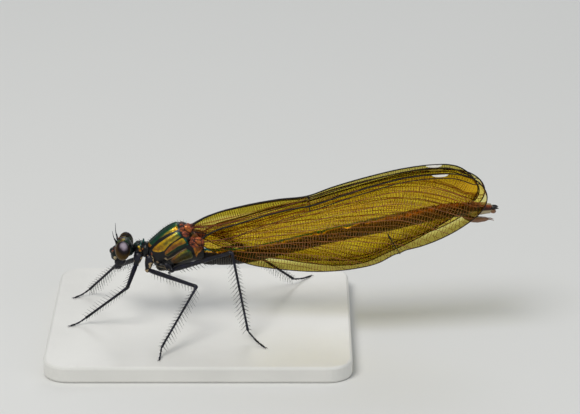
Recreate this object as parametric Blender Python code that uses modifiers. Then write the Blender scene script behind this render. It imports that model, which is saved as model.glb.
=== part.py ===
"""A damselfly, the brown-winged female of a metallic demoiselle, standing at rest.

The insect faces -X, with its left side towards -Y and its body's middle plane at y = 0.
The origin is the centre of the underside of the flat base that it stands on.
Places and sizes are written in millimetres and turned into metres by mm().
"""

import math

import bmesh
import bpy
import numpy as np
from mathutils import Matrix, Vector

# Driving sizes, in millimetres
PLATE_LENGTH = 36.0
PLATE_WIDTH = 32.0
PLATE_HEIGHT = 2.0
PLATE_CORNER = 3.0
PLATE_CHAMFER = 0.3
GAP = 0.3
FOOT_LEVEL = PLATE_HEIGHT + GAP

EYE_CENTRE = (-9.13, 1.6, 10.9)
EYE_HALF = (0.89, 0.97, 1.17)
HEAD_CENTRE = (-9.25, 0.0, 10.9)
HEAD_HALF = (0.95, 1.55, 1.05)
FACE_CENTRE = (-10.1, 0.0, 10.0)
FACE_HALF = (0.68, 0.95, 0.95)
LABRUM_CENTRE = (-10.2, 0.0, 9.25)
LABRUM_HALF = (0.5, 0.72, 0.42)
JAW_CENTRE = (-9.65, 0.0, 8.95)
JAW_HALF = (0.72, 0.7, 0.62)
LABIUM_CENTRE = (-9.9, 0.0, 8.3)
LABIUM_HALF = (0.56, 0.48, 0.42)
OCELLUS_PLACES = ((-9.75, 0.0), (-9.4, -0.35), (-9.4, 0.35))
OCELLUS_RADIUS = 0.15
OCELLUS_DEPTH = 0.12
FEELER_ROOT = (-9.95, 0.5, 11.45)
FEELER_TIP = (-10.32, 1.4, 13.3)
FEELER_RADII = (0.27, 0.25, 0.2, 0.12)
HEAD_YAW = math.radians(4.0)
NECK_PIVOT = (-8.1, 0.0, 10.8)

# Each wing is a thin sheet: x and z of its root, its rise towards the tip and its reach
WING_THICKNESS = 0.5
VEIN_THICKNESS = 0.66
WING_PITCH = math.radians(12.0)
WING_LENGTH = 33.3
FORE_ROOT = (-0.2, 14.2)
HIND_ROOT = (0.9, 12.9)
WING_CREST = 1.5
CREST_ROOT_OUT = 0.75
CREST_TIP_OUT = 0.5
FLARE_ROOT = 0.09
FLARE_TIP = 0.135
WING_SPACING = 0.86
RIGHT_WING_DROP = 0.55
STATIONS = 26
LAST_CHORD = 0.992
CHORD_BEND = 1.25
CHORD_BEND_FALL = 0.5
VEIN_SHARES = (0.07, 0.2, 0.33, 0.46, 0.6, 0.73, 0.87)
VEIN_HALF_WIDTH = 0.014
SOCKET_HALF = (0.95, 0.46, 0.78)
SOCKET_CENTRE = -1.15
SOCKET_BELOW = 0.5

# Margins as places along the wing and below its root line
FORE_LEADING = (
    (-0.45, -0.02), (0.9, -0.48), (2.4, -0.77), (5.9, -0.98), (9.8, -0.92), (13.4, -0.63),
    (16.4, -1.07), (21.4, -1.49), (25.4, -1.58), (29.0, -1.27), (30.5, -0.96), (31.68, -0.42),
    (32.53, 0.38), (33.13, 1.3), (33.38, 2.35),
)
FORE_TRAILING = (
    (-0.45, 1.0), (1.8, 2.1), (4.5, 4.2), (8.1, 6.0), (12.0, 7.5), (15.4, 8.45), (18.2, 8.7),
    (21.5, 8.0), (25.0, 7.1), (28.2, 6.0), (31.0, 4.8), (32.4, 3.95), (33.15, 3.15),
    (33.38, 2.35),
)
HIND_LEADING = (
    (-0.25, 0.0), (1.1, -0.46), (3.7, -0.73), (7.4, -1.09), (11.4, -1.22), (12.7, -1.17),
    (15.4, -1.45), (20.4, -2.0), (24.4, -2.21), (27.7, -1.93), (29.7, -1.62), (31.12, -1.2),
    (32.1, -0.62), (32.85, 0.15), (33.3, 1.0), (33.42, 1.9),
)
HIND_TRAILING = (
    (-0.25, 1.0), (1.5, 2.2), (4.2, 4.2), (8.5, 5.98), (12.5, 6.98), (16.0, 7.38), (19.0, 7.3),
    (22.0, 6.46), (24.8, 6.25), (27.6, 5.7), (30.2, 4.8), (32.2, 3.75), (33.1, 2.85),
    (33.42, 1.9),
)

# Front to back along the thorax: x, underside, back, half width
THORAX_SECTIONS = (
    (-6.45, 9.65, 11.2, 0.85), (-6.0, 9.2, 11.7, 1.2), (-5.3, 8.35, 12.38, 1.5),
    (-4.4, 7.85, 13.15, 1.75), (-3.5, 7.85, 13.72, 1.88), (-2.6, 8.2, 13.98, 1.92),
    (-1.9, 8.6, 13.9, 1.88), (-1.3, 8.85, 13.3, 1.8), (-0.7, 9.1, 12.45, 1.65),
    (-0.1, 9.1, 11.95, 1.45), (0.45, 9.3, 11.4, 1.15),
)
PROTHORAX_SECTIONS = (
    (-8.05, 10.35, 11.2, 0.5), (-7.85, 10.05, 11.45, 0.75), (-7.5, 9.75, 11.6, 1.0),
    (-7.1, 9.65, 11.75, 1.08), (-6.85, 9.8, 11.7, 1.0), (-6.75, 10.0, 11.5, 0.85),
)
RING_SIDES = 20
RING_ROUND_ACROSS = 0.85
RING_ROUND_UP = 0.92
RING_NARROWING = 0.11

# The abdomen's middle line in x and z, its half height there, and where its lengths part
ABDOMEN_LINE = (
    (0.75, 9.62), (2.3, 9.55), (5.9, 9.85), (8.3, 10.4), (11.9, 11.32), (17.3, 12.7),
    (22.2, 13.8), (26.2, 14.75), (29.2, 15.4), (31.5, 15.62), (34.4, 15.75),
)
ABDOMEN_WIDTH = 0.88
ABDOMEN_JOINTS = (0.75, 1.7, 4.1, 9.2, 14.4, 19.5, 24.2, 28.0, 30.9, 33.0, 34.4)
ABDOMEN_LENGTHS = ((0, 2), (2, 4), (4, 6), (6, 8), (8, 10))
ABDOMEN_RINGS = 14
WAIST_DEPTH = 0.08
WAIST_REACH = 0.35
ABDOMEN_HALF_HEIGHT = (
    (0.75, 1.0), (3.0, 0.99), (9.0, 0.98), (15.0, 0.93), (20.0, 0.97), (23.0, 1.0),
    (28.0, 0.93), (31.0, 0.86), (33.0, 0.8), (34.4, 0.62),
)

# Tail: the cerci as places behind the abdomen's end, and the egg valves under it
CERCUS_PATH = ((0.3, 0.34, 0.15), (0.7, 0.42, 0.18), (1.15, 0.4, 0.12))
CERCUS_RADII = (0.25, 0.24, 0.13)
VALVES_START = 31.3
VALVES_END = 34.3
VALVES_DROP = 0.28
VALVES_RADII = (0.16, 0.28, 0.33, 0.32, 0.28, 0.16)

# Each leg: coxa on the body, trochanter, knee, ankle and toe
LEG_JOINTS = {
    "left_fore": ((-7.35, -0.62, 10.2), (-7.7, -0.95, 8.95), (-8.6, -4.2, 7.22),
                  (-13.77, -2.78, 2.9), (-15.54, -3.58, FOOT_LEVEL)),
    "right_fore": ((-7.35, 0.62, 10.2), (-7.7, 0.95, 8.95), (-10.65, 3.8, 6.75),
                   (-13.94, 6.51, 2.9), (-15.69, 5.48, FOOT_LEVEL)),
    "left_mid": ((-6.0, -0.8, 9.9), (-6.3, -1.2, 8.35), (-0.29, -6.2, 8.16),
                 (-4.26, -12.36, 3.1), (-4.46, -13.86, FOOT_LEVEL)),
    "right_mid": ((-6.0, 0.8, 9.9), (-6.3, 1.2, 8.35), (-0.29, 6.2, 8.16),
                  (-4.26, 12.36, 3.1), (-4.46, 13.86, FOOT_LEVEL)),
    "left_hind": ((-4.2, -0.8, 9.0), (-3.4, -1.3, 8.35), (3.85, -3.55, 11.5),
                  (5.76, -7.56, 3.2), (7.78, -10.22, FOOT_LEVEL)),
    "right_hind": ((-4.2, 0.8, 9.0), (-3.4, 1.3, 8.35), (4.64, 5.0, 9.23),
                   (11.19, 10.01, 2.85), (13.34, 12.82, FOOT_LEVEL)),
}
FEMUR_RADIUS = 0.26
TIBIA_RADIUS = 0.25
TARSUS_RADIUS = 0.24
TOE_RADIUS = 0.17

# Radii from the coxa to the start of the femur
HIP_RADII = (0.47, 0.47, 0.42, 0.34, 0.32, 0.29, 0.28)

# Places along a rod from 0 to 1, and its girth there as a share of its radius
THIGH_SHARES = (0.5, 0.8, 0.95, 1.0)
THIGH_GIRTH = (1.0, 0.95, 1.05, 0.8)
SHIN_SHARES = (0.0, 0.06, 0.5, 0.94, 1.0)
SHIN_GIRTH = (0.85, 1.08, 1.0, 1.0, 0.85)
SHARP_ANGLE = math.radians(40.0)

# Materials: colour, roughness, metallic
LOOKS = {
    "metallic_green": ((0.06, 0.14, 0.05, 1.0), 0.3, 0.8),
    "metallic_gold": ((0.35, 0.3, 0.03, 1.0), 0.28, 0.8),
    "black_chitin": ((0.02, 0.02, 0.03, 1.0), 0.38, 0.0),
    "brown_eye": ((0.09, 0.04, 0.03, 1.0), 0.2, 0.0),
    "brown_wing": ((0.3, 0.16, 0.02, 1.0), 0.3, 0.0),
    "copper_chitin": ((0.2, 0.07, 0.04, 1.0), 0.35, 0.3),
    "pale_acrylic": ((0.75, 0.74, 0.7, 1.0), 0.35, 0.0),
}


def mm(value):
    """Millimetres to metres, for one number or for a place."""
    if isinstance(value, (int, float)):
        return value * 0.001
    return Vector([part * 0.001 for part in value])


def clear_scene():
    for obj in list(bpy.data.objects):
        bpy.data.objects.remove(obj)


def make_materials():
    made = {}
    for name, (colour, roughness, metallic) in LOOKS.items():
        made[name] = bpy.data.materials.new(name)
        made[name].use_nodes = True
        shader = made[name].node_tree.nodes["Principled BSDF"]
        shader.inputs["Base Color"].default_value = colour
        shader.inputs["Roughness"].default_value = roughness
        shader.inputs["Metallic"].default_value = metallic
    return made


def new_object(name, shape):
    """A mesh object from a bmesh, in the scene and not yet in the model."""
    mesh = bpy.data.meshes.new(name)
    bmesh.ops.recalc_face_normals(shape, faces=shape.faces)
    shape.to_mesh(mesh)
    shape.free()
    obj = bpy.data.objects.new(name, mesh)
    bpy.context.scene.collection.objects.link(obj)
    return obj


def smooth_path(points, shares):
    """Places at the given shares of a smooth curve through the points."""
    given = np.array(points, dtype=float)
    knots = np.concatenate([[0.0], np.cumsum(np.linalg.norm(np.diff(given, axis=0), axis=1))])
    knots /= knots[-1]
    slopes = np.gradient(given, knots, axis=0)
    wanted = np.asarray(shares)
    spans = np.clip(np.searchsorted(knots, wanted, side="right") - 1, 0, len(knots) - 2)
    width = (knots[spans + 1] - knots[spans])[:, None]
    local = ((wanted - knots[spans]) / width[:, 0])[:, None]
    start = given[spans] * (2 * local ** 3 - 3 * local ** 2 + 1)
    end = given[spans + 1] * (3 * local ** 2 - 2 * local ** 3)
    leave = slopes[spans] * width * (local ** 3 - 2 * local ** 2 + local)
    arrive = slopes[spans + 1] * width * (local ** 3 - local ** 2)
    return start + end + leave + arrive


def ellipsoid(name, centre, half, segments=16, rings=10, grow=0.0):
    shape = bmesh.new()
    bmesh.ops.create_uvsphere(shape, u_segments=segments, v_segments=rings, radius=1.0)
    size = [mm(part + grow) for part in half]
    bmesh.ops.scale(shape, verts=shape.verts, vec=size)
    bmesh.ops.translate(shape, verts=shape.verts, vec=mm(centre))
    return new_object(name, shape)


def tube(name, points, radii, resolution=1, depth_scale=1.0):
    """A tapered rod along a path, made from a curve with filled ends."""
    curve = bpy.data.curves.new(name, "CURVE")
    curve.dimensions = "3D"
    curve.bevel_depth = mm(1.0)
    curve.bevel_resolution = resolution
    curve.use_fill_caps = True
    spline = curve.splines.new("POLY")
    spline.points.add(len(points) - 1)
    for point, place, radius in zip(spline.points, points, radii):
        point.co = (*mm([float(part) for part in place]), 1.0)
        point.radius = float(radius)
    holder = bpy.data.objects.new(name + "_path", curve)
    bpy.context.scene.collection.objects.link(holder)
    depsgraph = bpy.context.evaluated_depsgraph_get()
    mesh = bpy.data.meshes.new_from_object(holder.evaluated_get(depsgraph))
    bpy.data.objects.remove(holder)
    shape = bmesh.new()
    shape.from_mesh(mesh)
    bpy.data.meshes.remove(mesh)
    bmesh.ops.remove_doubles(shape, verts=shape.verts, dist=mm(0.001))
    bmesh.ops.scale(shape, verts=shape.verts, vec=(1.0, depth_scale, 1.0))
    return new_object(name, shape)


def ring_loft(name, rings):
    """A closed body through a row of rings that have the same number of points."""
    shape = bmesh.new()
    rows = [[shape.verts.new(mm(place)) for place in ring] for ring in rings]
    for first, second in zip(rows, rows[1:]):
        for index in range(len(first)):
            after = (index + 1) % len(first)
            shape.faces.new((first[index], first[after], second[after], second[index]))
    shape.faces.new(rows[0])
    shape.faces.new(list(reversed(rows[-1])))
    return new_object(name, shape)


def body_ring(x, low, high, half_width):
    """One upright slice of the body, a soft square that narrows towards the underside."""
    places = []
    for index in range(RING_SIDES):
        turn = 2.0 * math.pi * index / RING_SIDES
        across = math.copysign(abs(math.cos(turn)) ** RING_ROUND_ACROSS, math.cos(turn))
        upward = math.copysign(abs(math.sin(turn)) ** RING_ROUND_UP, math.sin(turn))
        narrowing = 1.0 - RING_NARROWING * (1.0 - upward)
        places.append((x, half_width * across * narrowing,
                       (low + high) / 2.0 + upward * (high - low) / 2.0))
    return places


def largest_body(mesh):
    """Keeps only the biggest closed surface of a mesh."""
    shape = bmesh.new()
    shape.from_mesh(mesh)
    left = set(shape.verts)
    bodies = []
    while left:
        seed = left.pop()
        body = {seed}
        edge_of_body = [seed]
        while edge_of_body:
            vert = edge_of_body.pop()
            for edge in vert.link_edges:
                other = edge.other_vert(vert)
                if other in left:
                    left.remove(other)
                    body.add(other)
                    edge_of_body.append(other)
        bodies.append(body)
    bodies.sort(key=len)
    for body in bodies[:-1]:
        bmesh.ops.delete(shape, geom=list(body), context="VERTS")
    shape.to_mesh(mesh)
    shape.free()


def apply_boolean(target, operation, others):
    """Joins or cuts the target with closed bodies, which are then removed."""
    group = bpy.data.collections.new(target.name + "_others")
    bpy.context.scene.collection.children.link(group)
    for other in others:
        group.objects.link(other)
    change = target.modifiers.new("change", "BOOLEAN")
    change.operation = operation
    change.operand_type = "COLLECTION"
    change.collection = group
    change.solver = "EXACT"
    bpy.context.view_layer.update()
    depsgraph = bpy.context.evaluated_depsgraph_get()
    mesh = bpy.data.meshes.new_from_object(target.evaluated_get(depsgraph))
    target.modifiers.remove(change)
    old = target.data
    target.data = mesh
    mesh.name = target.name
    bpy.data.meshes.remove(old)
    for other in others:
        bpy.data.objects.remove(other)
    bpy.data.collections.remove(group)
    largest_body(mesh)
    return target


def swollen(obj, distance=GAP):
    """A copy pushed outwards along its normals, used to keep a neighbour clear."""
    copy = bpy.data.objects.new(obj.name + "_swollen", obj.data.copy())
    bpy.context.scene.collection.objects.link(copy)
    shape = bmesh.new()
    shape.from_mesh(copy.data)
    shape.normal_update()
    for vert in shape.verts:
        vert.co += vert.normal * mm(distance) * min(vert.calc_shell_factor(), 1.4)
    shape.to_mesh(copy.data)
    shape.free()
    return copy


def keep_clear(piece, *neighbours):
    for neighbour in neighbours:
        apply_boolean(piece, "DIFFERENCE", [swollen(neighbour)])
    return piece


def yaw_head(obj):
    pivot = mm(NECK_PIVOT)
    turn = Matrix.Rotation(-HEAD_YAW, 4, "Z")
    obj.data.transform(Matrix.Translation(pivot) @ turn @ Matrix.Translation(-pivot))


def make_head():
    parts = {}
    for side, sign in (("left", -1.0), ("right", 1.0)):
        centre = (EYE_CENTRE[0], sign * EYE_CENTRE[1], EYE_CENTRE[2])
        parts[side + "_eye"] = ellipsoid(side + "_eye", centre, EYE_HALF, 20, 12)
    head = ellipsoid("head", HEAD_CENTRE, HEAD_HALF, 20, 12)
    face = ellipsoid("face", FACE_CENTRE, FACE_HALF, 16, 10)
    labrum = ellipsoid("labrum", LABRUM_CENTRE, LABRUM_HALF, 14, 8)
    additions = [face, labrum]
    top = HEAD_CENTRE[2] + HEAD_HALF[2] - OCELLUS_DEPTH
    for place in OCELLUS_PLACES:
        additions.append(ellipsoid("ocellus", (*place, top), [OCELLUS_RADIUS] * 3, 8, 6))
    apply_boolean(head, "UNION", additions)
    keep_clear(head, parts["left_eye"], parts["right_eye"])
    jaws = ellipsoid("mouthparts", JAW_CENTRE, JAW_HALF, 16, 10)
    labium = ellipsoid("labium", LABIUM_CENTRE, LABIUM_HALF, 14, 8)
    apply_boolean(jaws, "UNION", [labium])
    keep_clear(jaws, parts["left_eye"], parts["right_eye"])
    for centre, half in ((HEAD_CENTRE, HEAD_HALF), (FACE_CENTRE, FACE_HALF),
                         (LABRUM_CENTRE, LABRUM_HALF)):
        apply_boolean(jaws, "DIFFERENCE", [ellipsoid("clear", centre, half, 20, 12, GAP)])
    parts["head"] = head
    parts["mouthparts"] = jaws
    for side, sign in (("left", -1.0), ("right", 1.0)):
        root = Vector((FEELER_ROOT[0], sign * FEELER_ROOT[1], FEELER_ROOT[2]))
        tip = Vector((FEELER_TIP[0], sign * FEELER_TIP[1], FEELER_TIP[2]))
        places = [root.lerp(tip, share) for share in (0.0, 0.3, 0.65, 1.0)]
        feeler = tube(side + "_antenna", places, FEELER_RADII)
        apply_boolean(feeler, "DIFFERENCE",
                      [ellipsoid("clear", HEAD_CENTRE, HEAD_HALF, 20, 12, GAP)])
        parts[side + "_antenna"] = feeler
    for part in parts.values():
        yaw_head(part)
    return parts


def sheet_out(x, z):
    """How far the forewing's sheet is from the middle plane: the two sides lean like a tent."""
    back, up = x - FORE_ROOT[0], z - FORE_ROOT[1]
    share = (back * math.cos(WING_PITCH) + up * math.sin(WING_PITCH)) / WING_LENGTH
    below = back * math.sin(WING_PITCH) - up * math.cos(WING_PITCH)
    crest = CREST_ROOT_OUT + (CREST_TIP_OUT - CREST_ROOT_OUT) * share
    flare = FLARE_ROOT + (FLARE_TIP - FLARE_ROOT) * share
    return crest + flare * (below + WING_CREST)


def wing_place(along, below, root, side, extra):
    """A point of a wing's sheet; side is -1 or 1, extra the distance of an outer layer."""
    x = root[0] + along * math.cos(WING_PITCH) + below * math.sin(WING_PITCH)
    z = root[1] + along * math.sin(WING_PITCH) - below * math.cos(WING_PITCH)
    out = side * (sheet_out(x, z) + extra)
    if side > 0.0:
        z -= RIGHT_WING_DROP
    return (x, out, z)


def vein_lines():
    """Lines across the wing: each main vein is a crest between two feet."""
    lines = [(0.0, 1.0)]
    for share in VEIN_SHARES:
        lines.append((share - VEIN_HALF_WIDTH, 0.0))
        lines.append((share, 1.0))
        lines.append((share + VEIN_HALF_WIDTH, 0.0))
    lines.append((1.0, 0.0))
    return lines


def make_wing(name, leading, trailing, root, side, extra):
    """A wing's sheet between its two margins, thickened with its veins raised on both faces."""
    steps = np.linspace(0.0, 1.0, STATIONS + 1)
    shares = (0.5 * steps + 0.5 * np.sin(steps * math.pi / 2.0)) * LAST_CHORD
    front = smooth_path(leading, shares)
    rear = smooth_path(trailing, shares)
    lines = vein_lines()
    shape = bmesh.new()
    raised = shape.verts.layers.deform.new()
    rows = []
    for share, first, last in zip(shares, front, rear):
        bend = CHORD_BEND - CHORD_BEND_FALL * share
        row = []
        for across, weight in lines:
            along, below = first + (last - first) * across ** bend
            vert = shape.verts.new(mm(wing_place(float(along), float(below), root, side, extra)))
            vert[raised][0] = weight
            row.append(vert)
        rows.append(row)
    for first, second in zip(rows, rows[1:]):
        for index in range(len(lines) - 1):
            shape.faces.new((first[index], first[index + 1], second[index + 1], second[index]))
    bmesh.ops.triangulate(shape, faces=shape.faces, quad_method="FIXED")
    obj = new_object(name, shape)
    obj.vertex_groups.new(name="raised")
    thicken = obj.modifiers.new("thickness", "SOLIDIFY")
    thicken.thickness = mm(VEIN_THICKNESS)
    thicken.offset = 0.0
    thicken.vertex_group = "raised"
    thicken.thickness_vertex_group = WING_THICKNESS / VEIN_THICKNESS
    return obj


def make_wings():
    parts = {}
    for side, sign in (("left", -1.0), ("right", 1.0)):
        parts[side + "_forewing"] = make_wing(
            side + "_forewing", FORE_LEADING, FORE_TRAILING, FORE_ROOT, sign, 0.0)
        parts[side + "_hindwing"] = make_wing(
            side + "_hindwing", HIND_LEADING, HIND_TRAILING, HIND_ROOT, sign, WING_SPACING)
    return parts


def wing_socket(leading, root, side, extra):
    """The knob of the thorax that ends in a flat just short of a wing's root."""
    start = leading[0][0]
    below = leading[0][1] + SOCKET_BELOW
    middle = Vector(wing_place(start + SOCKET_CENTRE, below, root, side, extra))
    ahead = Vector(wing_place(start, below, root, side, extra))
    turn = (ahead - middle).to_track_quat("X", "Z").to_matrix().to_4x4()
    shape = bmesh.new()
    bmesh.ops.create_uvsphere(shape, u_segments=14, v_segments=10, radius=1.0)
    bmesh.ops.scale(shape, verts=shape.verts, vec=mm(SOCKET_HALF))
    flat = mm((ahead - middle).length - GAP)
    for vert in shape.verts:
        vert.co.x = min(vert.co.x, flat)
    bmesh.ops.transform(shape, matrix=Matrix.Translation(mm(middle)) @ turn, verts=shape.verts)
    return new_object("socket", shape)


def make_thorax():
    thorax = ring_loft("thorax", [body_ring(*section) for section in THORAX_SECTIONS])
    sockets = []
    for sign in (-1.0, 1.0):
        sockets.append(wing_socket(FORE_LEADING, FORE_ROOT, sign, 0.0))
        sockets.append(wing_socket(HIND_LEADING, HIND_ROOT, sign, WING_SPACING))
    core = bpy.data.objects.new("thorax_core", thorax.data.copy())
    bpy.context.scene.collection.objects.link(core)
    apply_boolean(thorax, "UNION", sockets)
    prothorax = ring_loft("prothorax", [body_ring(*section) for section in PROTHORAX_SECTIONS])
    return thorax, prothorax, core


def abdomen_places(first_x, last_x, count):
    """Middle line and half height of the abdomen between two stations along x."""
    line = smooth_path(ABDOMEN_LINE, np.linspace(0.0, 1.0, 200))
    stations = np.linspace(first_x, last_x, count)
    heights = np.interp(stations, line[:, 0], line[:, 1])
    known_x, known_half = zip(*ABDOMEN_HALF_HEIGHT)
    halves = np.interp(stations, known_x, known_half)
    return stations, heights, halves


def make_abdomen():
    parts = {}
    for first, last in ABDOMEN_LENGTHS:
        start = ABDOMEN_JOINTS[first] + (GAP / 2.0 if first else 0.0)
        end = ABDOMEN_JOINTS[last] - (GAP / 2.0 if last < len(ABDOMEN_JOINTS) - 1 else 0.0)
        stations, heights, halves = abdomen_places(start, end, ABDOMEN_RINGS)
        seams = np.array(ABDOMEN_JOINTS[first:last + 1])
        nearest = np.min(np.abs(stations[:, None] - seams[None, :]), axis=1)
        waist = 1.0 - WAIST_DEPTH * np.exp(-(nearest / WAIST_REACH) ** 2)
        places = [(x, 0.0, z) for x, z in zip(stations, heights)]
        name = "abdomen_%d_%d" % (first + 1, last)
        parts[name] = tube(name, places, halves * waist, 2, ABDOMEN_WIDTH)
    end_x, end_z = places[-1][0], places[-1][2]
    for side, sign in (("left", -1.0), ("right", 1.0)):
        path = [(end_x + back, sign * across, end_z + up) for back, across, up in CERCUS_PATH]
        parts[side + "_cercus"] = tube(side + "_cercus", path, CERCUS_RADII)
    stations, heights, halves = abdomen_places(VALVES_START, VALVES_END, len(VALVES_RADII))
    path = [(x, 0.0, z - half - GAP - VALVES_DROP) for x, z, half in zip(stations, heights, halves)]
    parts["ovipositor"] = tube("ovipositor", path, VALVES_RADII)
    return parts


def flatten_sole(obj):
    """Lets the toe stand on a small flat at the level of the other toes."""
    level = mm(FOOT_LEVEL)
    for vert in obj.data.vertices:
        vert.co.z = max(vert.co.z, level)


def started_later(start, end, distance):
    """The start of a rod, moved along it to leave room for what comes before."""
    return Vector(start) + (Vector(end) - Vector(start)).normalized() * distance


def make_leg(name, joints, carrier):
    coxa, trochanter, knee, ankle, toe = joints
    parts = {}
    hip, knee_place = Vector(trochanter), Vector(knee)
    hip_path = smooth_path((coxa, trochanter, hip.lerp(knee_place, 0.2)),
                           np.linspace(0.0, 1.0, len(HIP_RADII)))
    places = [Vector(place) for place in hip_path]
    places += [hip.lerp(knee_place, share) for share in THIGH_SHARES]
    radii = list(HIP_RADII) + [FEMUR_RADIUS * girth for girth in THIGH_GIRTH]
    femur = tube(name + "_femur", places, radii)
    parts[name + "_femur"] = keep_clear(femur, carrier)
    shin_start = started_later(knee, ankle, FEMUR_RADIUS + GAP + TIBIA_RADIUS * 0.6)
    shin_places = [shin_start.lerp(Vector(ankle), share) for share in SHIN_SHARES]
    shin_radii = [TIBIA_RADIUS * girth for girth in SHIN_GIRTH]
    parts[name + "_tibia"] = tube(name + "_tibia", shin_places, shin_radii)
    sole = Vector((toe[0], toe[1], FOOT_LEVEL + TOE_RADIUS * 0.8))
    foot_start = started_later(ankle, sole, GAP + TIBIA_RADIUS * 0.55)
    flat_start = foot_start.lerp(sole, 0.6)
    flat_start.z = sole.z + 0.02
    foot_places = [foot_start, foot_start.lerp(flat_start, 0.5), flat_start,
                   flat_start.lerp(sole, 0.6), sole]
    foot_radii = (TARSUS_RADIUS, TARSUS_RADIUS, TARSUS_RADIUS * 0.95, TOE_RADIUS * 1.1, TOE_RADIUS)
    parts[name + "_tarsus"] = tube(name + "_tarsus", foot_places, foot_radii)
    flatten_sole(parts[name + "_tarsus"])
    return parts


def make_plate():
    """The flat base: a rounded rectangle with its upper and lower edges broken."""
    shape = bmesh.new()
    bmesh.ops.create_cube(shape, size=1.0)
    size = (mm(PLATE_LENGTH), mm(PLATE_WIDTH), mm(PLATE_HEIGHT))
    bmesh.ops.scale(shape, verts=shape.verts, vec=size)
    bmesh.ops.translate(shape, verts=shape.verts, vec=(0.0, 0.0, mm(PLATE_HEIGHT) / 2.0))
    upright = [edge for edge in shape.edges
               if abs(edge.verts[0].co.z - edge.verts[1].co.z) > mm(PLATE_HEIGHT) * 0.5]
    bmesh.ops.bevel(shape, geom=upright, offset=mm(PLATE_CORNER), segments=8, profile=0.5,
                    affect="EDGES")
    level = [edge for edge in shape.edges
             if abs(edge.verts[0].co.z - edge.verts[1].co.z) < mm(0.01)]
    bmesh.ops.bevel(shape, geom=level, offset=mm(PLATE_CHAMFER), segments=2, profile=0.5,
                    affect="EDGES")
    return new_object("stand_base", shape)


def look_of(name):
    if name.startswith("stand_"):
        return "pale_acrylic"
    if name.endswith("wing"):
        return "brown_wing"
    if name.endswith("_eye"):
        return "brown_eye"
    if name == "thorax":
        return "metallic_gold"
    if name in ("head", "prothorax", "abdomen_1_2", "abdomen_3_4"):
        return "metallic_green"
    if name.startswith("abdomen") or name == "ovipositor":
        return "copper_chitin"
    return "black_chitin"


def main():
    clear_scene()
    looks = make_materials()
    parts = make_head()
    thorax, prothorax, core = make_thorax()
    parts["thorax"] = thorax
    parts["prothorax"] = prothorax
    parts.update(make_wings())
    parts.update(make_abdomen())
    keep_clear(parts["abdomen_1_2"], core)
    for name, joints in LEG_JOINTS.items():
        carrier = prothorax if name.endswith("fore") else core
        parts.update(make_leg(name, joints, carrier))
    bpy.data.objects.remove(core)
    parts["stand_base"] = make_plate()
    model = bpy.data.collections.new("damselfly")
    bpy.context.scene.collection.children.link(model)
    for name, obj in parts.items():
        obj.name = name
        obj.data.materials.clear()
        obj.data.materials.append(looks[look_of(name)])
        obj.data.shade_smooth()
        obj.data.set_sharp_from_angle(angle=SHARP_ANGLE)
        bpy.context.scene.collection.objects.unlink(obj)
        model.objects.link(obj)


if __name__ == "__main__":
    main()
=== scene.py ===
"""Dresses the frame of a resting damselfly as a museum model with veined wings and bristled legs.

The insect faces -X, with its left side towards -Y and its middle plane at y = 0.
Shapes are worked out in millimetres, and turned into metres when a mesh is made.
"""

import math
import random

import bpy
import numpy as np
from bpy.props import FloatProperty, FloatVectorProperty, PointerProperty
from mathutils import Matrix, Vector


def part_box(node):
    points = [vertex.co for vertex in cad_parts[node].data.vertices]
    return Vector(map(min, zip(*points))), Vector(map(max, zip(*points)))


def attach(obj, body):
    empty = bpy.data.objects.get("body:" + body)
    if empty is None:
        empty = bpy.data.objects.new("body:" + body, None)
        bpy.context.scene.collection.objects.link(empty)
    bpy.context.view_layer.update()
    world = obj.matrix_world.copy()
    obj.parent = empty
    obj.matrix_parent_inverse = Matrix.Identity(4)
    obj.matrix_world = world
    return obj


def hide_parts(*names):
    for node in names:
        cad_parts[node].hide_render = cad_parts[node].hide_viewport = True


bl_info = {
    "name": "Damselfly museum model",
    "version": (1, 0, 0),
    "blender": (4, 5, 0),
    "location": "3D View > Sidebar > Damselfly",
    "description": "Builds the skin, veined wings, bristled legs and stage of a damselfly model",
    "category": "Add Mesh",
}

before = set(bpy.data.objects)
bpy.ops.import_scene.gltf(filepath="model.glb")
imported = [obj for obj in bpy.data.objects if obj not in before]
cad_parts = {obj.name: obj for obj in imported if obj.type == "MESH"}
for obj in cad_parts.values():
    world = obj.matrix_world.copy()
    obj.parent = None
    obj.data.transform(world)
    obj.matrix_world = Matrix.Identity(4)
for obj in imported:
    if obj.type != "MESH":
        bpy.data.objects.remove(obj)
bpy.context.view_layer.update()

# A millimetre in metres, a metre in millimetres, a full turn and the sides of the body along y
MM = 0.001
IN_MM = 1000.0
FULL_TURN = 2.0 * math.pi
SIDES = (("left", -1.0), ("right", 1.0))
PLATE_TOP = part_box("stand_base")[1].z * IN_MM

# Head and neck: the right eye, and how far and about which place the head is turned
EYE_CENTRE = (-9.13, 1.6, 10.9)
EYE_HALF = (0.89, 0.97, 1.17)
HEAD_YAW = math.radians(4.0)
NECK_PIVOT = (-8.1, 0.0, 10.8)

# Wings: pitch, length, roots in x and z, and how far out a sheet lies at its crest and below it
WING_PITCH = math.radians(12.0)
WING_LENGTH = 33.3
FORE_ROOT = (-0.2, 14.2)
HIND_ROOT = (0.9, 12.9)
WING_CREST = 1.5
CREST_ROOT_OUT = 0.75
CREST_TIP_OUT = 0.5
FLARE_ROOT = 0.09
FLARE_TIP = 0.135
WING_SPACING = 0.86

# How much lower the right wings lie, and how much lower and further back the forewing's tip is
RIGHT_WING_DROP = 0.55
RIGHT_FORE_DROP = 0.42
RIGHT_FORE_BACK = 0.3

# Pleats from the front margin to the rear one, and their height
PLEAT_COUNT = 8.0
PLEAT_HEIGHT = 0.035

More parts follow.
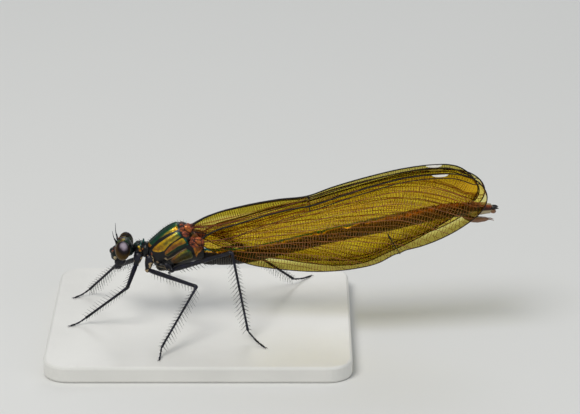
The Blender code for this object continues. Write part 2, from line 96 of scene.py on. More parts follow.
# Margins as places along the wing and below its root line
FORE_LEADING = (
    (-0.95, 0.2), (-0.3, -0.06), (0.9, -0.48), (2.4, -0.77), (5.9, -0.98), (9.8, -0.92),
    (13.4, -0.63), (16.4, -1.07), (21.4, -1.49), (25.4, -1.58), (29.0, -1.27), (30.5, -0.96),
    (31.68, -0.42), (32.53, 0.38), (33.13, 1.3), (33.38, 2.35),
)
FORE_TRAILING = (
    (-0.95, 0.8), (-0.3, 1.1), (1.8, 2.1), (4.5, 4.2), (8.1, 6.0), (12.0, 7.5), (15.4, 8.45),
    (18.2, 8.7), (21.5, 8.0), (25.0, 7.1), (28.2, 6.0), (31.0, 4.8), (32.4, 3.95),
    (33.15, 3.15), (33.38, 2.35),
)
HIND_LEADING = (
    (-0.85, 0.3), (-0.2, -0.04), (1.1, -0.46), (3.7, -0.73), (7.4, -1.09), (11.4, -1.22),
    (12.7, -1.17), (15.4, -1.45), (20.4, -2.0), (24.4, -2.21), (27.7, -1.93), (29.7, -1.62),
    (31.12, -1.2), (32.1, -0.62), (32.85, 0.15), (33.3, 1.0), (33.42, 1.9),
)
HIND_TRAILING = (
    (-0.85, 1.05), (-0.3, 1.5), (0.5, 2.2), (1.9, 3.05), (4.2, 4.4), (8.5, 5.98), (12.5, 6.98),
    (16.0, 7.38), (19.0, 7.3), (22.0, 6.46), (24.8, 6.25), (27.6, 5.7), (30.2, 4.8),
    (32.2, 3.75), (33.1, 2.85), (33.42, 1.9),
)

# The radius vein, straight to the node of the wing and then close behind the front margin
FORE_RADIUS = (
    (-0.95, 0.42), (-0.3, 0.46), (0.6, 0.62), (1.6, 0.7), (4.6, 0.64), (7.3, 0.39),
    (9.8, 0.14), (12.2, -0.1), (13.5, -0.2), (16.4, -0.55), (21.4, -0.98), (25.4, -1.12),
    (29.0, -0.85), (31.0, -0.3), (32.2, 0.55),
)
HIND_RADIUS = (
    (-0.85, 0.55), (-0.2, 0.6), (1.0, 0.72), (2.5, 0.74), (5.6, 0.31), (8.2, -0.03), (11.2, -0.4),
    (12.8, -0.52), (15.4, -0.88), (20.4, -1.45), (24.4, -1.7), (27.7, -1.42), (30.5, -0.75),
    (32.2, 0.25),
)

# Each pair: its margins and root, how far outside the forewings it lies, its radius vein,
# how far along its node and its white spot are, and how deep the spot is
FORE_WING = {"leading": FORE_LEADING, "trailing": FORE_TRAILING, "root": FORE_ROOT,
             "outside": 0.0, "radius": FORE_RADIUS, "node": 13.5, "spot": 28.8, "spot_deep": 0.8}
HIND_WING = {"leading": HIND_LEADING, "trailing": HIND_TRAILING, "root": HIND_ROOT,
             "outside": WING_SPACING, "radius": HIND_RADIUS, "node": 12.75, "spot": 28.5,
             "spot_deep": 0.55}

# Half the length of a white spot
SPOT_HALF = 0.95

# Main veins behind the radius: share of the chord, and share of the length where each starts
MAIN_VEINS = ((0.07, 0.055), (0.19, 0.0), (0.33, 0.055), (0.5, 0.0), (0.67, 0.03), (0.84, 0.0))

# The widest gap that one row of cells fills, and how near the rear margin its veins are bolder
WIDEST_GAP = 0.88
NET_MARGIN = 1.7

# The fold across the rear of the left hind wing: ends along and below, half width and height
CREASE_START = (21.0, 3.95)
CREASE_END = (22.0, 6.58)
CREASE_HALF = 0.8
CREASE_HEIGHT = 0.32

# How the rim of a wing, step by step, darkens the light that it lets through
RIM_FACTORS = ((0.886, 0.858, 0.615), (0.65, 0.6, 0.36), (0.84, 0.72, 0.28))

# Front to back along the body: x, underside, back, half width
THORAX_SECTIONS = (
    (-6.45, 9.65, 11.18, 0.85), (-6.0, 9.2, 11.65, 1.2), (-5.3, 8.35, 12.3, 1.5),
    (-4.4, 7.85, 13.08, 1.75), (-3.5, 7.85, 13.65, 1.88), (-2.6, 8.2, 13.93, 1.92),
    (-1.9, 8.6, 13.9, 1.88), (-1.3, 8.85, 13.3, 1.8), (-0.7, 9.1, 12.45, 1.65),
    (-0.1, 9.1, 11.95, 1.45), (0.45, 9.3, 11.4, 1.15),
)
PROTHORAX_SECTIONS = (
    (-8.05, 10.35, 11.15, 0.5), (-7.85, 10.05, 11.38, 0.75), (-7.5, 9.75, 11.5, 1.0),
    (-7.1, 9.65, 11.6, 1.08), (-6.85, 9.8, 11.6, 1.0), (-6.6, 10.0, 11.45, 0.9),
)

# Hues of the metallic plates, as places on one colour band
TEAL, DEEP_GREEN, GREEN, LEAF_GREEN, LIME = 0.0, 0.05, 0.1, 0.17, 0.24
YELLOW_GREEN, GOLD_GREEN, PALE_GOLD, GOLD = 0.3, 0.35, 0.44, 0.5
ORANGE, RUST, COPPER, BRONZE, BEIGE = 0.62, 0.7, 0.78, 0.88, 0.97

# Edges that several plates of the thorax share, in x and z
SHOULDER_EDGE = ((-4.95, 12.2), (-4.05, 12.85), (-3.2, 13.25), (-2.65, 13.5))
SIDE_EDGE = ((-1.45, 11.7), (-2.3, 11.26), (-3.18, 10.7), (-3.8, 10.2))

# Plates seen from the side: hue and brightness at the lower front and the upper rear end,
# then the outline in x and z. The brightness is partly how much metal shows and partly
# painted light: painted highlights towards the upper rear ends and upper edges, and painted
# shade lower down. The dark strips over lower halves are laid on as painted shade.
THORAX_PLATES = (
    (LEAF_GREEN, TEAL, (0.4, 0.9), (
        (-6.3, 11.15), (-5.9, 11.3), *SHOULDER_EDGE, (-2.75, 14.6), (-3.4, 14.6), (-4.4, 14.0),
        (-5.4, 13.1), (-6.3, 12.2))),
    (LIME, LIME, (0.2, 0.95), (*SHOULDER_EDGE, (-2.8, 13.9), (-3.3, 13.65), (-4.1, 13.08))),
    (GOLD_GREEN, ORANGE, (0.4, 1.0), (
        (-4.5, 12.53), *SHOULDER_EDGE[1:], (-2.75, 13.7), (-3.25, 13.43), (-4.07, 12.94))),
    (ORANGE, ORANGE, (0.6, 0.6), ((-6.28, 11.22), (-6.0, 11.14), (-5.86, 11.36), (-6.12, 11.5))),
    (ORANGE, YELLOW_GREEN, (0.95, 1.0), (
        (-5.75, 10.85), (-5.45, 11.3), (-4.9, 11.8), (-4.05, 12.45), (-2.85, 13.22),
        (-2.42, 13.14), (-2.22, 12.76), (-3.1, 12.14), (-3.52, 11.85), (-3.95, 11.35),
        (-4.3, 10.9), (-4.95, 10.68), (-5.5, 10.68))),
    (TEAL, TEAL, (0.9, 0.9), (
        (-2.6, 13.2), (-2.4, 13.14), (-2.22, 12.8), (-2.35, 12.78), (-2.48, 13.02))),
    (RUST, PALE_GOLD, (0.3, 1.0), (
        (-4.2, 10.75), (-3.78, 11.3), (-3.16, 11.95), (-2.2, 12.54), (-1.76, 12.5),
        (-1.44, 12.0), *SIDE_EDGE, (-4.2, 10.35))),
    (RUST, ORANGE, (0.35, 0.6), (
        (-4.12, 10.62), (-3.45, 11.22), (-2.65, 11.82), (-1.5, 12.22), *SIDE_EDGE,
        (-4.2, 10.35))),
    (LIME, GREEN, (0.12, 0.3), (
        (-4.05, 10.42), (-3.38, 10.98), (-2.55, 11.56), (-1.5, 11.98), *SIDE_EDGE)),
    (TEAL, TEAL, (0.9, 0.9), (
        (-2.0, 12.62), (-1.72, 12.56), (-1.42, 12.0), (-1.42, 11.7), (-1.55, 11.68),
        (-1.58, 12.0), (-1.83, 12.42))),
    (ORANGE, LIME, (0.12, 0.34), (
        (-3.6, 9.7), (-3.1, 10.12), (-2.3, 10.76), (-1.52, 11.12), (-1.06, 10.85),
        (-0.82, 10.15), (-0.94, 9.8), (-1.9, 9.5), (-2.7, 9.2), (-3.25, 9.2))),
    (ORANGE, LIME, (0.3, 0.7), (
        (-3.4, 9.85), (-3.1, 10.12), (-2.3, 10.76), (-1.52, 11.12), (-1.2, 10.95),
        (-1.6, 10.82), (-2.35, 10.4), (-3.1, 9.8))),
    (BEIGE, BEIGE, (0.75, 0.75), (
        (-3.85, 9.82), (-3.2, 10.2), (-2.42, 10.84), (-1.65, 11.25), (-1.6, 11.17),
        (-2.38, 10.76), (-3.16, 10.12), (-3.8, 9.74))),
    (COPPER, COPPER, (0.85, 0.85), (
        (-2.45, 13.8), (-2.3, 14.7), (-1.3, 14.7), (-1.05, 13.9), (-1.4, 13.8), (-1.76, 13.87))),
    (COPPER, COPPER, (0.85, 0.85), (
        (-2.15, 13.12), (-2.0, 13.46), (-1.63, 13.62), (-1.26, 13.46), (-1.12, 13.1),
        (-1.26, 12.76), (-1.63, 12.62), (-2.0, 12.78))),
    (COPPER, ORANGE, (0.85, 0.85), (
        (-1.26, 12.4), (-0.8, 12.66), (-0.2, 12.42), (-0.1, 12.14), (-0.3, 11.86),
        (-0.9, 12.0))),
    (ORANGE, COPPER, (0.85, 0.85), (
        (-0.84, 11.5), (-0.47, 11.72), (0.05, 11.64), (0.32, 11.1), (0.25, 10.8),
        (-0.22, 10.5), (-0.45, 9.9), (-0.64, 10.54))),
    (TEAL, TEAL, (0.9, 0.9), ((-1.72, 14.1), (-1.72, 14.6), (-1.42, 14.6), (-1.38, 14.1))),
    (BEIGE, BEIGE, (0.7, 0.7), ((-5.35, 9.35), (-5.1, 9.5), (-4.9, 9.2), (-5.15, 9.05))),
    (BEIGE, BEIGE, (0.6, 0.6), ((-4.4, 9.95), (-4.05, 10.02), (-3.8, 9.7), (-4.0, 9.64))),
    (COPPER, BEIGE, (0.6, 0.6), ((-6.0, 10.4), (-5.82, 10.62), (-5.66, 10.34), (-5.84, 10.15))),
)
PROTHORAX_PLATES = (
    (GOLD, GOLD_GREEN, (0.95, 0.95), (
        (-7.68, 11.3), (-7.5, 11.42), (-7.2, 11.2), (-7.1, 11.0), (-7.22, 10.92), (-7.45, 11.06))),
    (ORANGE, ORANGE, (0.85, 0.85), ((-7.4, 10.86), (-7.1, 10.88), (-7.0, 10.62), (-7.28, 10.56))),
    (TEAL, TEAL, (0.5, 0.5), ((-7.25, 11.4), (-7.2, 12.2), (-6.98, 12.2), (-7.0, 11.3))),
    (GREEN, TEAL, (0.2, 0.3), ((-7.95, 11.2), (-7.8, 12.2), (-7.6, 12.2), (-7.68, 11.4))),
    (COPPER, ORANGE, (0.8, 0.8), ((-6.95, 10.95), (-6.8, 11.05), (-6.74, 10.6), (-6.88, 10.45))),
    (BEIGE, BEIGE, (0.6, 0.6), ((-6.98, 10.4), (-6.84, 10.45), (-6.86, 10.2), (-6.98, 10.16))),
)

# Metallic marks on the crown: place in x and y, hue and brightness
CROWN_PATCHES = (
    (-9.15, 0.45, 0.4, 0.5), (-8.75, 0.62, 0.16, 0.4), (-9.75, 0.62, 0.3, 0.5),
    (-10.0, 0.0, 0.2, 0.35), (-9.35, 0.95, 0.6, 0.5), (-8.6, 0.1, 0.05, 0.2),
)

# Balls of the head, in its middle plane, on both its sides and for its three simple eyes:
# centre, half sizes, points round and rows, hue and brightness
FACE_BALLS = (
    ((-8.55, 0.0, 10.5), (0.65, 1.1, 0.75), 40, 30, GREEN, 0.06),
    ((-10.1, 0.0, 10.0), (0.68, 0.95, 0.95), 36, 28, GREEN, 0.05),
    ((-10.5, 0.0, 10.3), (0.42, 0.64, 0.36), 28, 20, DEEP_GREEN, 0.08),
    ((-10.32, 0.0, 9.6), (0.42, 0.74, 0.36), 28, 20, DEEP_GREEN, 0.08),
)
SIDE_BALLS = (
    ((-10.14, 0.85, 9.74), (0.2, 0.14, 0.27), 16, 12, BEIGE, 0.95),
    ((-10.42, 0.62, 10.45), (0.2, 0.14, 0.18), 16, 12, 0.9, 0.9),
    ((-10.1, 0.78, 10.92), (0.2, 0.13, 0.16), 16, 12, BRONZE, 0.9),
    ((-8.75, 1.12, 11.3), (0.4, 0.36, 0.4), 20, 14, 0.2, 0.15),
)
SIMPLE_EYES = tuple(((back, across, 11.86), (0.13, 0.13, 0.13), 16, 12, BRONZE, 0.8)
                    for across, back in ((0.0, -9.75), (-0.35, -9.4), (0.35, -9.4)))

# The abdomen: its middle line in x and z, its width for its height, where its lengths part,
# its ends, and its half height along x
ABDOMEN_LINE = (
    (0.75, 9.62), (2.3, 9.55), (5.9, 9.85), (8.3, 10.4), (11.9, 11.32), (17.3, 12.7),
    (22.2, 13.8), (26.2, 14.75), (29.2, 15.4), (31.5, 15.62), (34.4, 15.75),
)
ABDOMEN_WIDTH = 0.88
ABDOMEN_JOINTS = (1.7, 4.1, 9.2, 14.4, 19.5, 24.2, 28.0, 30.9, 33.0)
ABDOMEN_ENDS = (0.2, 34.85)
ABDOMEN_HALF_HEIGHT = (
    (0.2, 0.9), (0.75, 1.0), (3.0, 0.99), (9.0, 0.98), (15.0, 0.93), (20.0, 0.97),
    (23.0, 1.0), (28.0, 0.93), (31.0, 0.86), (33.0, 0.8), (34.4, 0.62),
)

# Distance in metres from one rib of the belly to the next
RIB_PITCH = 0.00027

# Each leg: coxa on the body, trochanter, knee, ankle and toe
LEG_JOINTS = {
    "left_fore": ((-7.35, -0.62, 10.2), (-7.7, -0.95, 8.95), (-8.6, -4.2, 7.22),
                  (-13.77, -2.78, 2.75), (-15.54, -3.58)),
    "right_fore": ((-7.35, 0.62, 10.2), (-7.7, 0.95, 8.95), (-10.65, 3.8, 6.75),
                   (-13.94, 6.51, 2.75), (-15.69, 5.48)),
    "left_mid": ((-6.0, -0.8, 9.9), (-6.3, -1.2, 8.35), (-0.29, -6.2, 8.16),
                 (-4.26, -12.36, 2.95), (-4.46, -13.86)),
    "right_mid": ((-6.0, 0.8, 9.9), (-6.3, 1.2, 8.35), (-0.29, 6.2, 8.16),
                  (-4.26, 12.36, 2.95), (-4.46, 13.86)),
    "left_hind": ((-4.2, -0.8, 9.0), (-3.4, -1.3, 8.35), (3.85, -3.55, 11.5),
                  (5.76, -7.56, 3.05), (7.78, -10.22)),
    "right_hind": ((-4.2, 0.8, 9.0), (-3.4, 1.3, 8.35), (4.64, 5.0, 9.23),
                   (11.19, 10.01, 2.75), (13.34, 12.82)),
}

# Girths in millimetres along the coxa, then places along the femur and the tibia, and the
# girth there as a share of their radius
COXA_GIRTHS = (0.3, 0.48, 0.54, 0.55, 0.52, 0.48, 0.43, 0.36, 0.25)
FEMUR_PLACES = (0.0, 0.02, 0.08, 0.2, 0.4, 0.6, 0.8, 0.92, 0.96, 0.99, 1.0)
FEMUR_GIRTHS = (0.7, 1.0, 1.12, 1.14, 1.06, 0.98, 0.9, 0.86, 0.98, 0.9, 0.5)
TIBIA_PLACES = (-0.012, 0.0, 0.03, 0.06, 0.2, 0.5, 0.8, 0.95, 0.985, 1.0)
TIBIA_GIRTHS = (0.7, 1.25, 1.35, 1.08, 1.0, 0.95, 0.92, 0.98, 1.08, 0.7)

# How far out of a leg's middle line its bristles are rooted, as a share of its radius
ROOTS_OUT = 0.85

# Bristles: how far one strays from its lean, and its shortest and longest share of its length
STRAY = 0.06
SHORTEST_SHARE = 0.78
LONGEST_SHARE = 1.05

# Half the outer and the inner width of a bristle's patch in its layout
PATCH_OUTER = 0.0015
PATCH_INNER = 0.0005

# Rows of hairs round the body and over the head, in degrees from the right side over the back
HAIR_TURNS = (50, 65, 80, 100, 115, 130, 160, 200, 235, 250, 265, 275, 290, 305, 340)
HEAD_HAIR_TURNS = (50.0, 75.0, 100.0, 125.0)

# Stage: half the floor, what the lights look at, and the camera, in metres except its lens
FLOOR_HALF = 3.0
LIGHT_AIM = (0.009, 0.0, 0.011)
CAMERA_PLACE = (0.010714, -0.3101, 0.12877)
CAMERA_TILT = math.radians(70.0)
CAMERA_LENS = 172.06


def length_size(label, words, value):
    """A size in metres, given here in millimetres, that can be changed in the sidebar."""
    return FloatProperty(name=label, description=words, default=value * MM, min=0.0,
                         unit="LENGTH", precision=5)


def colour_choice(label, words, value):
    """A colour that can be changed in the sidebar."""
    return FloatVectorProperty(name=label, description=words, default=(*value, 1.0), size=4,
                               min=0.0, max=1.0, subtype="COLOR")


class DamselflyWingSettings(bpy.types.PropertyGroup):
    """Sizes and colours of the wings"""
    costa: length_size("Leading vein", "Radius of the black vein along the front margin", 0.1)
    long_vein: length_size("Long veins", "Radius of the veins that run along a wing", 0.046)
    cross_vein: length_size("Cross veins", "Radius of the fine veins between them", 0.018)
    spacing: length_size("Cross vein spacing", "Distance from one cross vein to the next", 0.33)
    thickness: length_size("Membrane", "Thickness of the membrane", 0.04)
    opacity: FloatProperty(name="Opacity", description="How much one face of the membrane hides",
                           default=0.014, min=0.0, max=1.0, subtype="FACTOR")
    membrane: colour_choice("Membrane colour", "Golden brown of the membrane",
                            (0.36, 0.25, 0.015))
    filtered: colour_choice("Light through a wing", "Colour that one face of a wing lets through",
                            (0.97, 0.956, 0.68))
    veins: colour_choice("Vein colour", "Red-brown of the veins", (0.36, 0.11, 0.035))
    spot: colour_choice("Wing spot", "White mark near each wing tip", (0.85, 0.84, 0.8))


class DamselflyBodySettings(bpy.types.PropertyGroup):
    """Relief and colours of the body"""
    relief: length_size("Plate relief", "How far the plates stand over the sutures", 0.09)
    green: colour_choice("Green", "Metallic green of the plates", (0.01, 0.11, 0.035))
    gold: colour_choice("Gold", "Metallic gold of the side bands", (0.78, 0.47, 0.012))
    copper: colour_choice("Copper", "Copper of the wing bases and the tail", (0.3, 0.085, 0.03))
    black: colour_choice("Black", "Black cuticle of the sutures and legs", (0.003, 0.003, 0.004))
    eye: colour_choice("Eye", "Lower part of the compound eyes", (0.085, 0.046, 0.008))


class DamselflyLegSettings(bpy.types.PropertyGroup):
    """Sizes of the legs, bristles and hairs"""
    femur: length_size("Femur", "Radius of the femora", 0.25)
    tibia: length_size("Tibia", "Radius of the tibiae", 0.145)
    tarsus: length_size("Tarsus", "Radius of the feet", 0.1)
    bristle_length: length_size("Bristle length", "Length of the longest bristles", 1.25)
    bristle_spacing: length_size("Bristle spacing", "Distance between bristles", 0.46)
    bristle_radius: length_size("Bristle radius", "Radius of a bristle at its root", 0.03)
    hair_length: length_size("Hair length", "Length of the fine hairs on the body", 0.34)
    hair_spacing: length_size("Hair spacing", "Distance between hairs", 0.3)
    hair_radius: length_size("Hair radius", "Radius of a hair at its root", 0.014)


class DamselflyStageSettings(bpy.types.PropertyGroup):
    """Colours and lights of the stage"""
    floor: colour_choice("Floor", "Colour of the pale floor", (0.72, 0.72, 0.7))
    base: colour_choice("Base", "Colour of the display base", (0.75, 0.74, 0.7))
    key_light: FloatProperty(name="Key light", description="Power of the main soft light",
                             default=1.5, min=0.0, unit="POWER")
    fill_light: FloatProperty(name="Fill light", description="Power of the softer side light",
                              default=0.4, min=0.0, unit="POWER")


def smooth_path(points, shares):
    """Places at the given shares of a smooth curve through the points."""
    given = np.array(points, dtype=float)
    knots = np.concatenate([[0.0], np.cumsum(np.linalg.norm(np.diff(given, axis=0), axis=1))])
    knots /= knots[-1]
    slopes = np.gradient(given, knots, axis=0)
    wanted = np.atleast_1d(np.asarray(shares, dtype=float))
    spans = np.clip(np.searchsorted(knots, wanted, side="right") - 1, 0, len(knots) - 2)
    width = (knots[spans + 1] - knots[spans])[:, None]
    local = ((wanted - knots[spans]) / width[:, 0])[:, None]
    start = given[spans] * (2 * local ** 3 - 3 * local ** 2 + 1)
    end = given[spans + 1] * (3 * local ** 2 - 2 * local ** 3)
    leave = slopes[spans] * width * (local ** 3 - 2 * local ** 2 + local)
    arrive = slopes[spans + 1] * width * (local ** 3 - local ** 2)
    return start + end + leave + arrive


def soft_step(low, high, value):
    """Rises smoothly from 0 at low to 1 at high."""
    share = np.clip((value - low) / (high - low), 0.0, 1.0)
    return share * share * (3.0 - 2.0 * share)


def even(count):
    """Even shares from 0 to 1."""
    return np.linspace(0.0, 1.0, count)


def unit(vectors):
    """Vectors brought to a length of 1."""
    vectors = np.asarray(vectors, dtype=float)
    return vectors / np.maximum(np.linalg.norm(vectors, axis=-1, keepdims=True), 1e-9)


def turns_round(sides):
    """Angles at even steps round a ring."""
    return np.linspace(0.0, FULL_TURN, sides, endpoint=False)


def ringed(rings, look=0, **marks):
    """A closed shell through rows of rings, with a point in the middle of each end."""
    rings = np.asarray(rings, dtype=float)
    rows, sides = rings.shape[:2]
    index = np.arange(rows * sides).reshape(rows, sides)
    after = np.roll(index, -1, axis=1)
    quads = np.stack((index[:-1], after[:-1], after[1:], index[1:]), axis=-1).reshape(-1, 4)
    head, tail = rows * sides, rows * sides + 1
    faces = quads.tolist()
    faces += [(head, b, a) for a, b in zip(index[0].tolist(), after[0].tolist())]
    faces += [(tail, a, b) for a, b in zip(index[-1].tolist(), after[-1].tolist())]
    points = np.vstack((rings.reshape(-1, 3), rings[0].mean(axis=0), rings[-1].mean(axis=0)))
    kept = {}
    for name, values in marks.items():
        spread = np.broadcast_to(np.asarray(values, dtype=float), (rows, sides))
        kept[name] = np.concatenate((spread.ravel(), [spread[0].mean(), spread[-1].mean()]))
    return {"points": points, "faces": faces, "look": look, "marks": kept}


def faced_outwards(shell):
    """Turns a closed shell's faces round where they point inwards."""
    points, volume = shell["points"], 0.0
    for size in (3, 4):
        corners = np.array([face for face in shell["faces"] if len(face) == size], dtype=int)
        if not len(corners):
            continue
        for second in range(1, size - 1):
            first, middle, last = (points[corners[:, pick]] for pick in (0, second, second + 1))
            volume += np.einsum("ij,ij->", first, np.cross(middle, last))
    if volume < 0.0:
        shell["faces"] = [tuple(reversed(face)) for face in shell["faces"]]


def ball(centre, half, sides=24, rows=16, **marks):
    """An ellipsoid shell whose poles lie along y."""
    turns = turns_round(sides)
    lats = np.linspace(-math.pi / 2.0 * 0.97, math.pi / 2.0 * 0.97, rows)
    rings = np.stack((np.outer(np.cos(lats), np.cos(turns)),
                      np.outer(np.sin(lats), np.ones(sides)),
                      np.outer(np.cos(lats), np.sin(turns))), axis=-1)
    return ringed(rings * np.array(half) + np.array(centre), **marks)


def frames_along(path):
    """Two directions across a path at each of its points, turned as little as possible."""
    ways = unit(np.gradient(path, axis=0))
    start = np.array((0.0, 0.0, 1.0)) if abs(ways[0][2]) < 0.9 else np.array((1.0, 0.0, 0.0))
    sides = []
    for way in ways:
        start = unit(start - way * np.dot(start, way))
        sides.append(start)
    sides = np.array(sides)
    return sides, np.cross(ways, sides)


def rod(path, radii, sides=12, keels=0.0, **marks):
    """A closed tapered rod along a path; keels is how far four ridges stand on it."""
    path = np.asarray(path, dtype=float)
    first, second = frames_along(path)
    turns = turns_round(sides)
    shape = 1.0 + keels * np.cos(4.0 * turns)
    radii = np.broadcast_to(np.asarray(radii, dtype=float), (len(path),))
    out = (first[:, None] * np.cos(turns)[None, :, None]
           + second[:, None] * np.sin(turns)[None, :, None])
    rings = path[:, None] + out * shape[None, :, None] * radii[:, None, None]
    return ringed(rings, **marks)


def turned(shell, matrix):
    """Moves a shell's points by a matrix."""
    shell["points"] = shell["points"] @ np.array(matrix.to_3x3()).T + np.array(matrix.translation)
    return shell


def yaw_of_head():
    """The turn of the head about the neck."""
    pivot = Vector(NECK_PIVOT)
    turn = Matrix.Rotation(-HEAD_YAW, 4, "Z")
    return Matrix.Translation(pivot) @ turn @ Matrix.Translation(-pivot)


def new_object(name, data):
    """An object linked to the scene."""
    obj = bpy.data.objects.new(name, data)
    bpy.context.scene.collection.objects.link(obj)
    return obj


def add_piece(obj, replaced=()):
    """Puts a finished object in the model: it rides on the body and may stand for CAD nodes."""
    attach(obj, "root")
    if replaced:
        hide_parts(*replaced)


def piece_from_shells(name, shells, looks, replaced=()):
    """Adds a piece made of closed shells, with their marks kept at its points."""
    points, faces, picks, base = [], [], [], 0
    names = sorted({mark for shell in shells for mark in shell["marks"]})
    marks = {mark: [] for mark in names}
    for shell in shells:
        faced_outwards(shell)
        points.append(shell["points"])
        faces += [tuple(corner + base for corner in face) for face in shell["faces"]]
        picks += [shell["look"]] * len(shell["faces"])
        for mark in names:
            marks[mark].append(shell["marks"].get(mark, np.zeros(len(shell["points"]))))
        base += len(shell["points"])
    mesh = bpy.data.meshes.new(name)
    mesh.from_pydata((np.vstack(points) * MM).tolist(), [], faces)
    for look in looks:
        mesh.materials.append(look)
    mesh.polygons.foreach_set("material_index", picks)
    for mark in names:
        layer = mesh.attributes.new(mark, "FLOAT", "POINT")
        layer.data.foreach_set("value", np.concatenate(marks[mark]).astype(np.float32))
    mesh.shade_smooth()
    mesh.update()
    add_piece(new_object(name, mesh), replaced)


# Materials

def new_material(name, **values):
    """A Principled material, its tree, its shader with plain values set, and object places."""
    material = bpy.data.materials.new(name)
    material.use_nodes = True
    tree = material.node_tree
    shader = tree.nodes["Principled BSDF"]
    for socket, value in values.items():
        shader.inputs[socket.replace("_", " ")].default_value = value
    return material, tree, shader, add_node(tree, "ShaderNodeTexCoord").outputs["Object"]


def add_node(tree, kind, links=None, **settings):
    """A node with its settings made and its inputs linked or filled in."""
    made = tree.nodes.new(kind)
    for name, value in settings.items():
        setattr(made, name, value)
    for socket, value in (links or {}).items():
        target = made.inputs[socket]
        if isinstance(value, bpy.types.NodeSocket):
            tree.links.new(value, target)
        else:
            target.default_value = value
    return made


def mark_value(tree, name):
    """A value that the mesh keeps at its points."""
    return add_node(tree, "ShaderNodeAttribute", attribute_name=name).outputs["Fac"]


def noise_value(tree, place, per_mm, detail=3.0):
    """Noise with so many waves to the millimetre."""
    links = {"Vector": place, "Scale": per_mm * IN_MM, "Detail": detail}
    return add_node(tree, "ShaderNodeTexNoise", links).outputs["Fac"]


def scaled(colour, factors):
    """A colour times one factor, or times one for each channel."""
    return tuple(np.multiply(colour[:3], factors).tolist())


def ramp_colour(tree, value, stops):
    """A colour read from a band of colours."""
    ramp = add_node(tree, "ShaderNodeValToRGB", {"Fac": value})
    bar = ramp.color_ramp
    while len(bar.elements) < len(stops):
        bar.elements.new(0.5)
    for element, (place, colour) in zip(bar.elements, stops):
        element.position = place
        element.color = (*colour[:3], 1.0)
    return ramp.outputs["Color"]


def mixed(tree, share, first, second):
    """A colour between two colours, each a socket or plain values."""
    links = {0: share}
    for index, colour in ((6, first), (7, second)):
        plain = not isinstance(colour, bpy.types.NodeSocket)
        links[index] = (*colour[:3], 1.0) if plain else colour
    return add_node(tree, "ShaderNodeMix", links, data_type="RGBA").outputs[2]


def between(tree, value, from_low, from_high, to_low=0.0, to_high=1.0):
    """Carries a value from one range over to another."""
    links = {"Value": value, "From Min": from_low, "From Max": from_high,
             "To Min": to_low, "To Max": to_high}
    return add_node(tree, "ShaderNodeMapRange", links).outputs["Result"]


def waved(tree, wave, low, high):
    """Carries the middle of a noise over to a range."""
    return between(tree, wave, 0.3, 0.7, low, high)


def maths(tree, operation, first, second=0.0):
    """One step of arithmetic on sockets or plain numbers."""
    return add_node(tree, "ShaderNodeMath", {0: first, 1: second},
                    operation=operation).outputs[0]


def added(tree, first, second):
    return maths(tree, "ADD", first, second)


def times(tree, first, second):
    return maths(tree, "MULTIPLY", first, second)


def bumped(tree, height, distance_mm, strength=0.6):
    """Normals that follow a fine relief."""
    links = {"Height": height, "Distance": distance_mm * MM, "Strength": strength}
    return add_node(tree, "ShaderNodeBump", links).outputs["Normal"]


def join_up(tree, shader, **links):
    """Links sockets to the shader's inputs."""
    for socket, source in links.items():
        tree.links.new(source, shader.inputs[socket.replace("_", " ")])


def cuticle_material():
    """Metallic plates with black sutures between them, finely pitted; the cover mark also carries
    painted highlights and painted shade on the plates.
    """
    body = bpy.context.scene.damselfly_body
    material, tree, shader, place = new_material("plated_cuticle", Specular_IOR_Level=0.25,
                                                 Coat_Weight=0.08, Coat_Roughness=0.15)
    wave = noise_value(tree, place, 1.1)
    hue = added(tree, mark_value(tree, "hue"), waved(tree, wave, -0.08, 0.08))
    green, gold = tuple(body.green), tuple(body.gold)
    lime = tuple(a * 0.6 + b * 0.9 for a, b in zip(gold[:3], green[:3]))
    plate = ramp_colour(tree, hue, (
        (0.0, (0.0, 0.12, 0.1)), (0.1, green), (0.22, scaled(green, 1.3)), (0.36, lime),
        (0.5, gold), (0.63, (0.66, 0.23, 0.02)), (0.77, scaled(body.copper, (1.8, 1.35, 1.5))),
        (0.86, (0.3, 0.07, 0.03)), (0.95, (0.6, 0.5, 0.3))))
    brown = between(tree, hue, 0.68, 0.76)
    creases = add_node(tree, "ShaderNodeTexVoronoi", {"Vector": place, "Scale": 1900.0},
                       feature="DISTANCE_TO_EDGE").outputs["Distance"]
    smooth = added(tree, maths(tree, "SUBTRACT", 1.0, brown), between(tree, hue, 0.86, 0.92))
    open_skin = maths(tree, "MAXIMUM", between(tree, creases, 0.02, 0.1, 0.1, 1.0), smooth)
    mottle = between(tree, noise_value(tree, place, 2.6, 4.0), 0.35, 0.62, 1.0, 0.5)
    cover = times(tree, times(tree, mark_value(tree, "cover"), open_skin), mottle)
    rough = added(tree, waved(tree, wave, 0.26, 0.42), between(tree, brown, 0.0, 1.0, 0.0, 0.2))
    join_up(tree, shader, Base_Color=mixed(tree, cover, body.black, plate),
            Metallic=times(tree, cover, between(tree, brown, 0.0, 1.0, 0.85, 0.3)),
            Roughness=rough, Normal=bumped(tree, noise_value(tree, place, 14.0, 2.0), 0.02))
    return material


